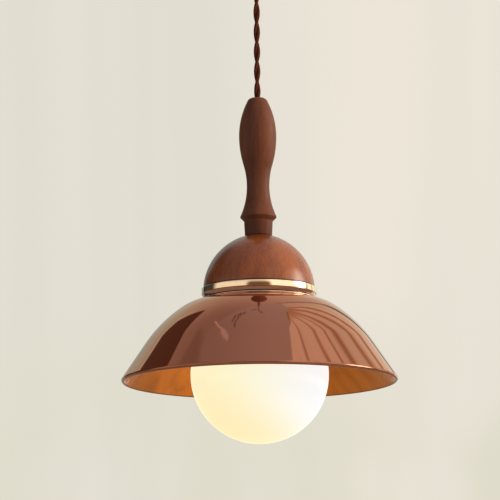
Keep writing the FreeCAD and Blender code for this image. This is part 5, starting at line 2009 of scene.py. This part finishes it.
    def strokes(self, x: Port, y: Port, lines: Strokes, width: float) -> Port:
        """Draw soft strokes between pairs of places.

        Args:
            x: degrees to the right.
            y: degrees to the back.
            lines: the strokes.
            width: how far from its middle a stroke fades out.

        Returns:
            How strongly a stroke covers the place.
        """
        cover = None
        for x0, y0, x1, y1 in lines:
            over, up = x1 - x0, y1 - y0
            share = ((x - x0) * over + (y - y0) * up) * (1.0 / (over ** 2 + up ** 2))
            share = share.clamped()
            off_x, off_y = x - x0 - share * over, y - y0 - share * up
            mark = (off_x * off_x + off_y * off_y).math("SQRT").ramp(width, width * 0.3)
            cover = mark if cover is None else cover.at_least(mark)
        return cover

    def shade_door(self, x: Port, y: Port, angle: Port, along: Port, room: Port) -> Port:
        """Darken a doorway, with a paler frame over it and its foot lower down.

        Args:
            x: degrees to the right.
            y: degrees to the back.
            angle: degrees from straight up.
            along: how much further back than aside a direction points.
            room: the brightness behind it.

        Returns:
            The brightness with it.
        """
        corner_x, corner_y = self.door_corner
        top_x, top_y = self.door_top
        right_jamb = corner_x - (y - corner_y) * 0.5 - x
        lintel = top_y - (x - top_x) * 0.4 - y
        upper = right_jamb.at_most(lintel)
        threshold = y - corner_y - (x - corner_x) * 0.64
        door = threshold.ramp(-0.8, 0.8) * upper.ramp(-0.8, 0.8)
        casing = (upper + 2.0).absolute().ramp(2.0, 1.0) * y.ramp(33.0, 37.0)
        room = room + casing * x.ramp(-22.0, -26.0) * 0.18
        low = angle.ramp(68.0, 73.0) * (1.65 - along).ramp(-0.05, 0.05) * along.ramp(0.2, 0.34)
        low = low * x.ramp(-10.0, -15.0)
        return room * (1.0 - door.at_least(low) * 0.93)


@dataclass(frozen=True)
class Softbox:
    """A square area light that no gloss shows, in metres and watts."""

    name: str
    place: Place
    size: float
    watts: float
    colour: Colour = (1.0, 1.0, 1.0)

    def aim(self, target: Place) -> None:
        """Set the light up.

        Args:
            target: the place that it faces.
        """
        data = bpy.data.lights.new(self.name, "AREA")
        data.shape = "RECTANGLE"
        data.size = data.size_y = self.size
        data.energy = self.watts
        data.color = self.colour
        lamp = bpy.data.objects.new(self.name, data)
        lamp.visible_glossy = False
        lamp.location = self.place
        way = Vector(target) - Vector(self.place)
        lamp.rotation_euler = way.to_track_quat("-Z", "Y").to_euler()
        bpy.context.scene.collection.objects.link(lamp)


@dataclass
class Studio:
    """Camera, lights, floor and backdrop, in metres and degrees."""

    distance: float = 2.26
    drop: float = -0.697
    pitch: float = 10.36
    roll: float = -0.45
    yaw: float = 0.2
    lens: float = 181.4
    sensor: float = 36.0
    far_limit: float = 60.0
    floor: float = -1.6
    floor_reach: float = 12.0
    target: Place = (0.0, 0.0, -0.3)
    ambient: float = 0.36
    ambient_colour: Colour = (1.0, 0.94, 0.86)
    key: Softbox = Softbox("key", (1.9, -0.7, 0.45), size=1.0, watts=50.0,
                           colour=(1.0, 0.93, 0.84))
    fill: Softbox = Softbox("fill", (-1.4, -1.9, 0.1), size=1.2, watts=4.0)
    cream_left: Colour = tone(223, 220, 208)
    cream_right: Colour = tone(236, 229, 216)
    cream_low: Colour = tone(224, 220, 203)
    room: Room = Room()

    def camera(self) -> None:
        """Look up at the light from the front."""
        data = bpy.data.cameras.new("camera")
        data.lens = self.lens
        data.sensor_width = self.sensor
        data.sensor_fit = "HORIZONTAL"
        data.clip_end = self.far_limit
        camera = bpy.data.objects.new("camera", data)
        turn = (Matrix.Rotation(math.radians(self.yaw), 4, "Z")
                @ Matrix.Rotation(math.radians(90 + self.pitch), 4, "X")
                @ Matrix.Rotation(math.radians(self.roll), 4, "Z"))
        camera.matrix_world = Matrix.Translation((0, -self.distance, self.drop)) @ turn
        bpy.context.scene.collection.objects.link(camera)
        bpy.context.scene.camera = camera

    def ground(self) -> None:
        """Lay the pale floor."""
        mesh = bpy.data.meshes.new("floor")
        reach = self.floor_reach
        corners = ((-reach, -reach), (reach, -reach), (reach, reach), (-reach, reach))
        mesh.from_pydata([(x, y, self.floor) for x, y in corners], [], [(0, 1, 2, 3)])
        mesh.materials.append(FLOOR_PAINT.material())
        floor = bpy.data.objects.new("floor", mesh)
        bpy.context.scene.collection.objects.link(floor)

    def backdrop(self, graph: Graph, direction: Port, across: Port, height: Port) -> Port:
        """Colour the cream backdrop that the camera sees.

        Args:
            graph: the world's graph.
            direction: where a ray points.
            across: its part to the right.
            height: its part upwards.

        Returns:
            The colour.
        """
        folds = graph.noise(graph.scaled(direction, (36.0, 0.0, 1.8)), scale=1.0, detail=2.0)
        patches = graph.noise(graph.scaled(direction, (18.0, 0.0, 9.0)), scale=1.0, detail=2.0)
        band = (across - 0.035).absolute().ramp(0.055, 0.0) * 0.4
        side = across.ramp(-0.1, 0.1) * 0.5 + folds * 1.2 - 0.45
        cream = graph.mix((side + band).clamped(), self.cream_left, self.cream_right)
        low = height.ramp(0.18, 0.09) * patches.ramp(0.35, 0.6)
        return graph.mix(low, cream, self.cream_low)

    def sky(self) -> None:
        """Show the backdrop to the camera and the room to gloss, and light the rest weakly."""
        world = bpy.data.worlds.new("backdrop")
        world.use_nodes = True
        bpy.context.scene.world = world
        world.node_tree.nodes.clear()
        graph = Graph(world.node_tree)

        def shine(colour: Union[Port, Colour], strength: Value) -> Port:
            """One background."""
            return graph.node("ShaderNodeBackground", {}, {"Color": colour, "Strength": strength})

        direction = graph.node("ShaderNodeTexCoord", output="Generated")
        across, depth, height = graph.split(direction)
        mirrored = graph.node("ShaderNodeLightPath", output="Is Glossy Ray")
        seen = (graph.output(mirrored, "Is Camera Ray")
                + graph.output(mirrored, "Is Transmission Ray")).clamped()
        unseen = graph.node("ShaderNodeMixShader", {}, [
            mirrored, shine(self.ambient_colour, self.ambient),
            shine(*self.room.view(graph, across, depth, height))])
        cream = shine(self.backdrop(graph, direction, across, height), 1.0)
        both = graph.node("ShaderNodeMixShader", {}, [seen, unseen, cream])
        graph.node("ShaderNodeOutputWorld", {}, {"Surface": both})

    def build(self) -> None:
        """Set the whole stage."""
        bpy.context.scene.view_settings.view_transform = "Standard"
        self.camera()
        self.sky()
        self.ground()
        self.key.aim(self.target)
        self.fill.aim(self.target)


def main() -> None:
    """Build the light, piece by piece."""
    logging.basicConfig(level=logging.INFO, format="%(message)s")
    for make_tree in (helix_tree, rib_tree, copies_tree):
        make_tree()
    for part in (Studio(), TwistedCord(), CeilingFitting(), TurnedStem(), TurnedDome(),
                 GlassShade(), LampHolder(), GlobeBulb()):
        part.build()


if __name__ == "__main__":
    main()
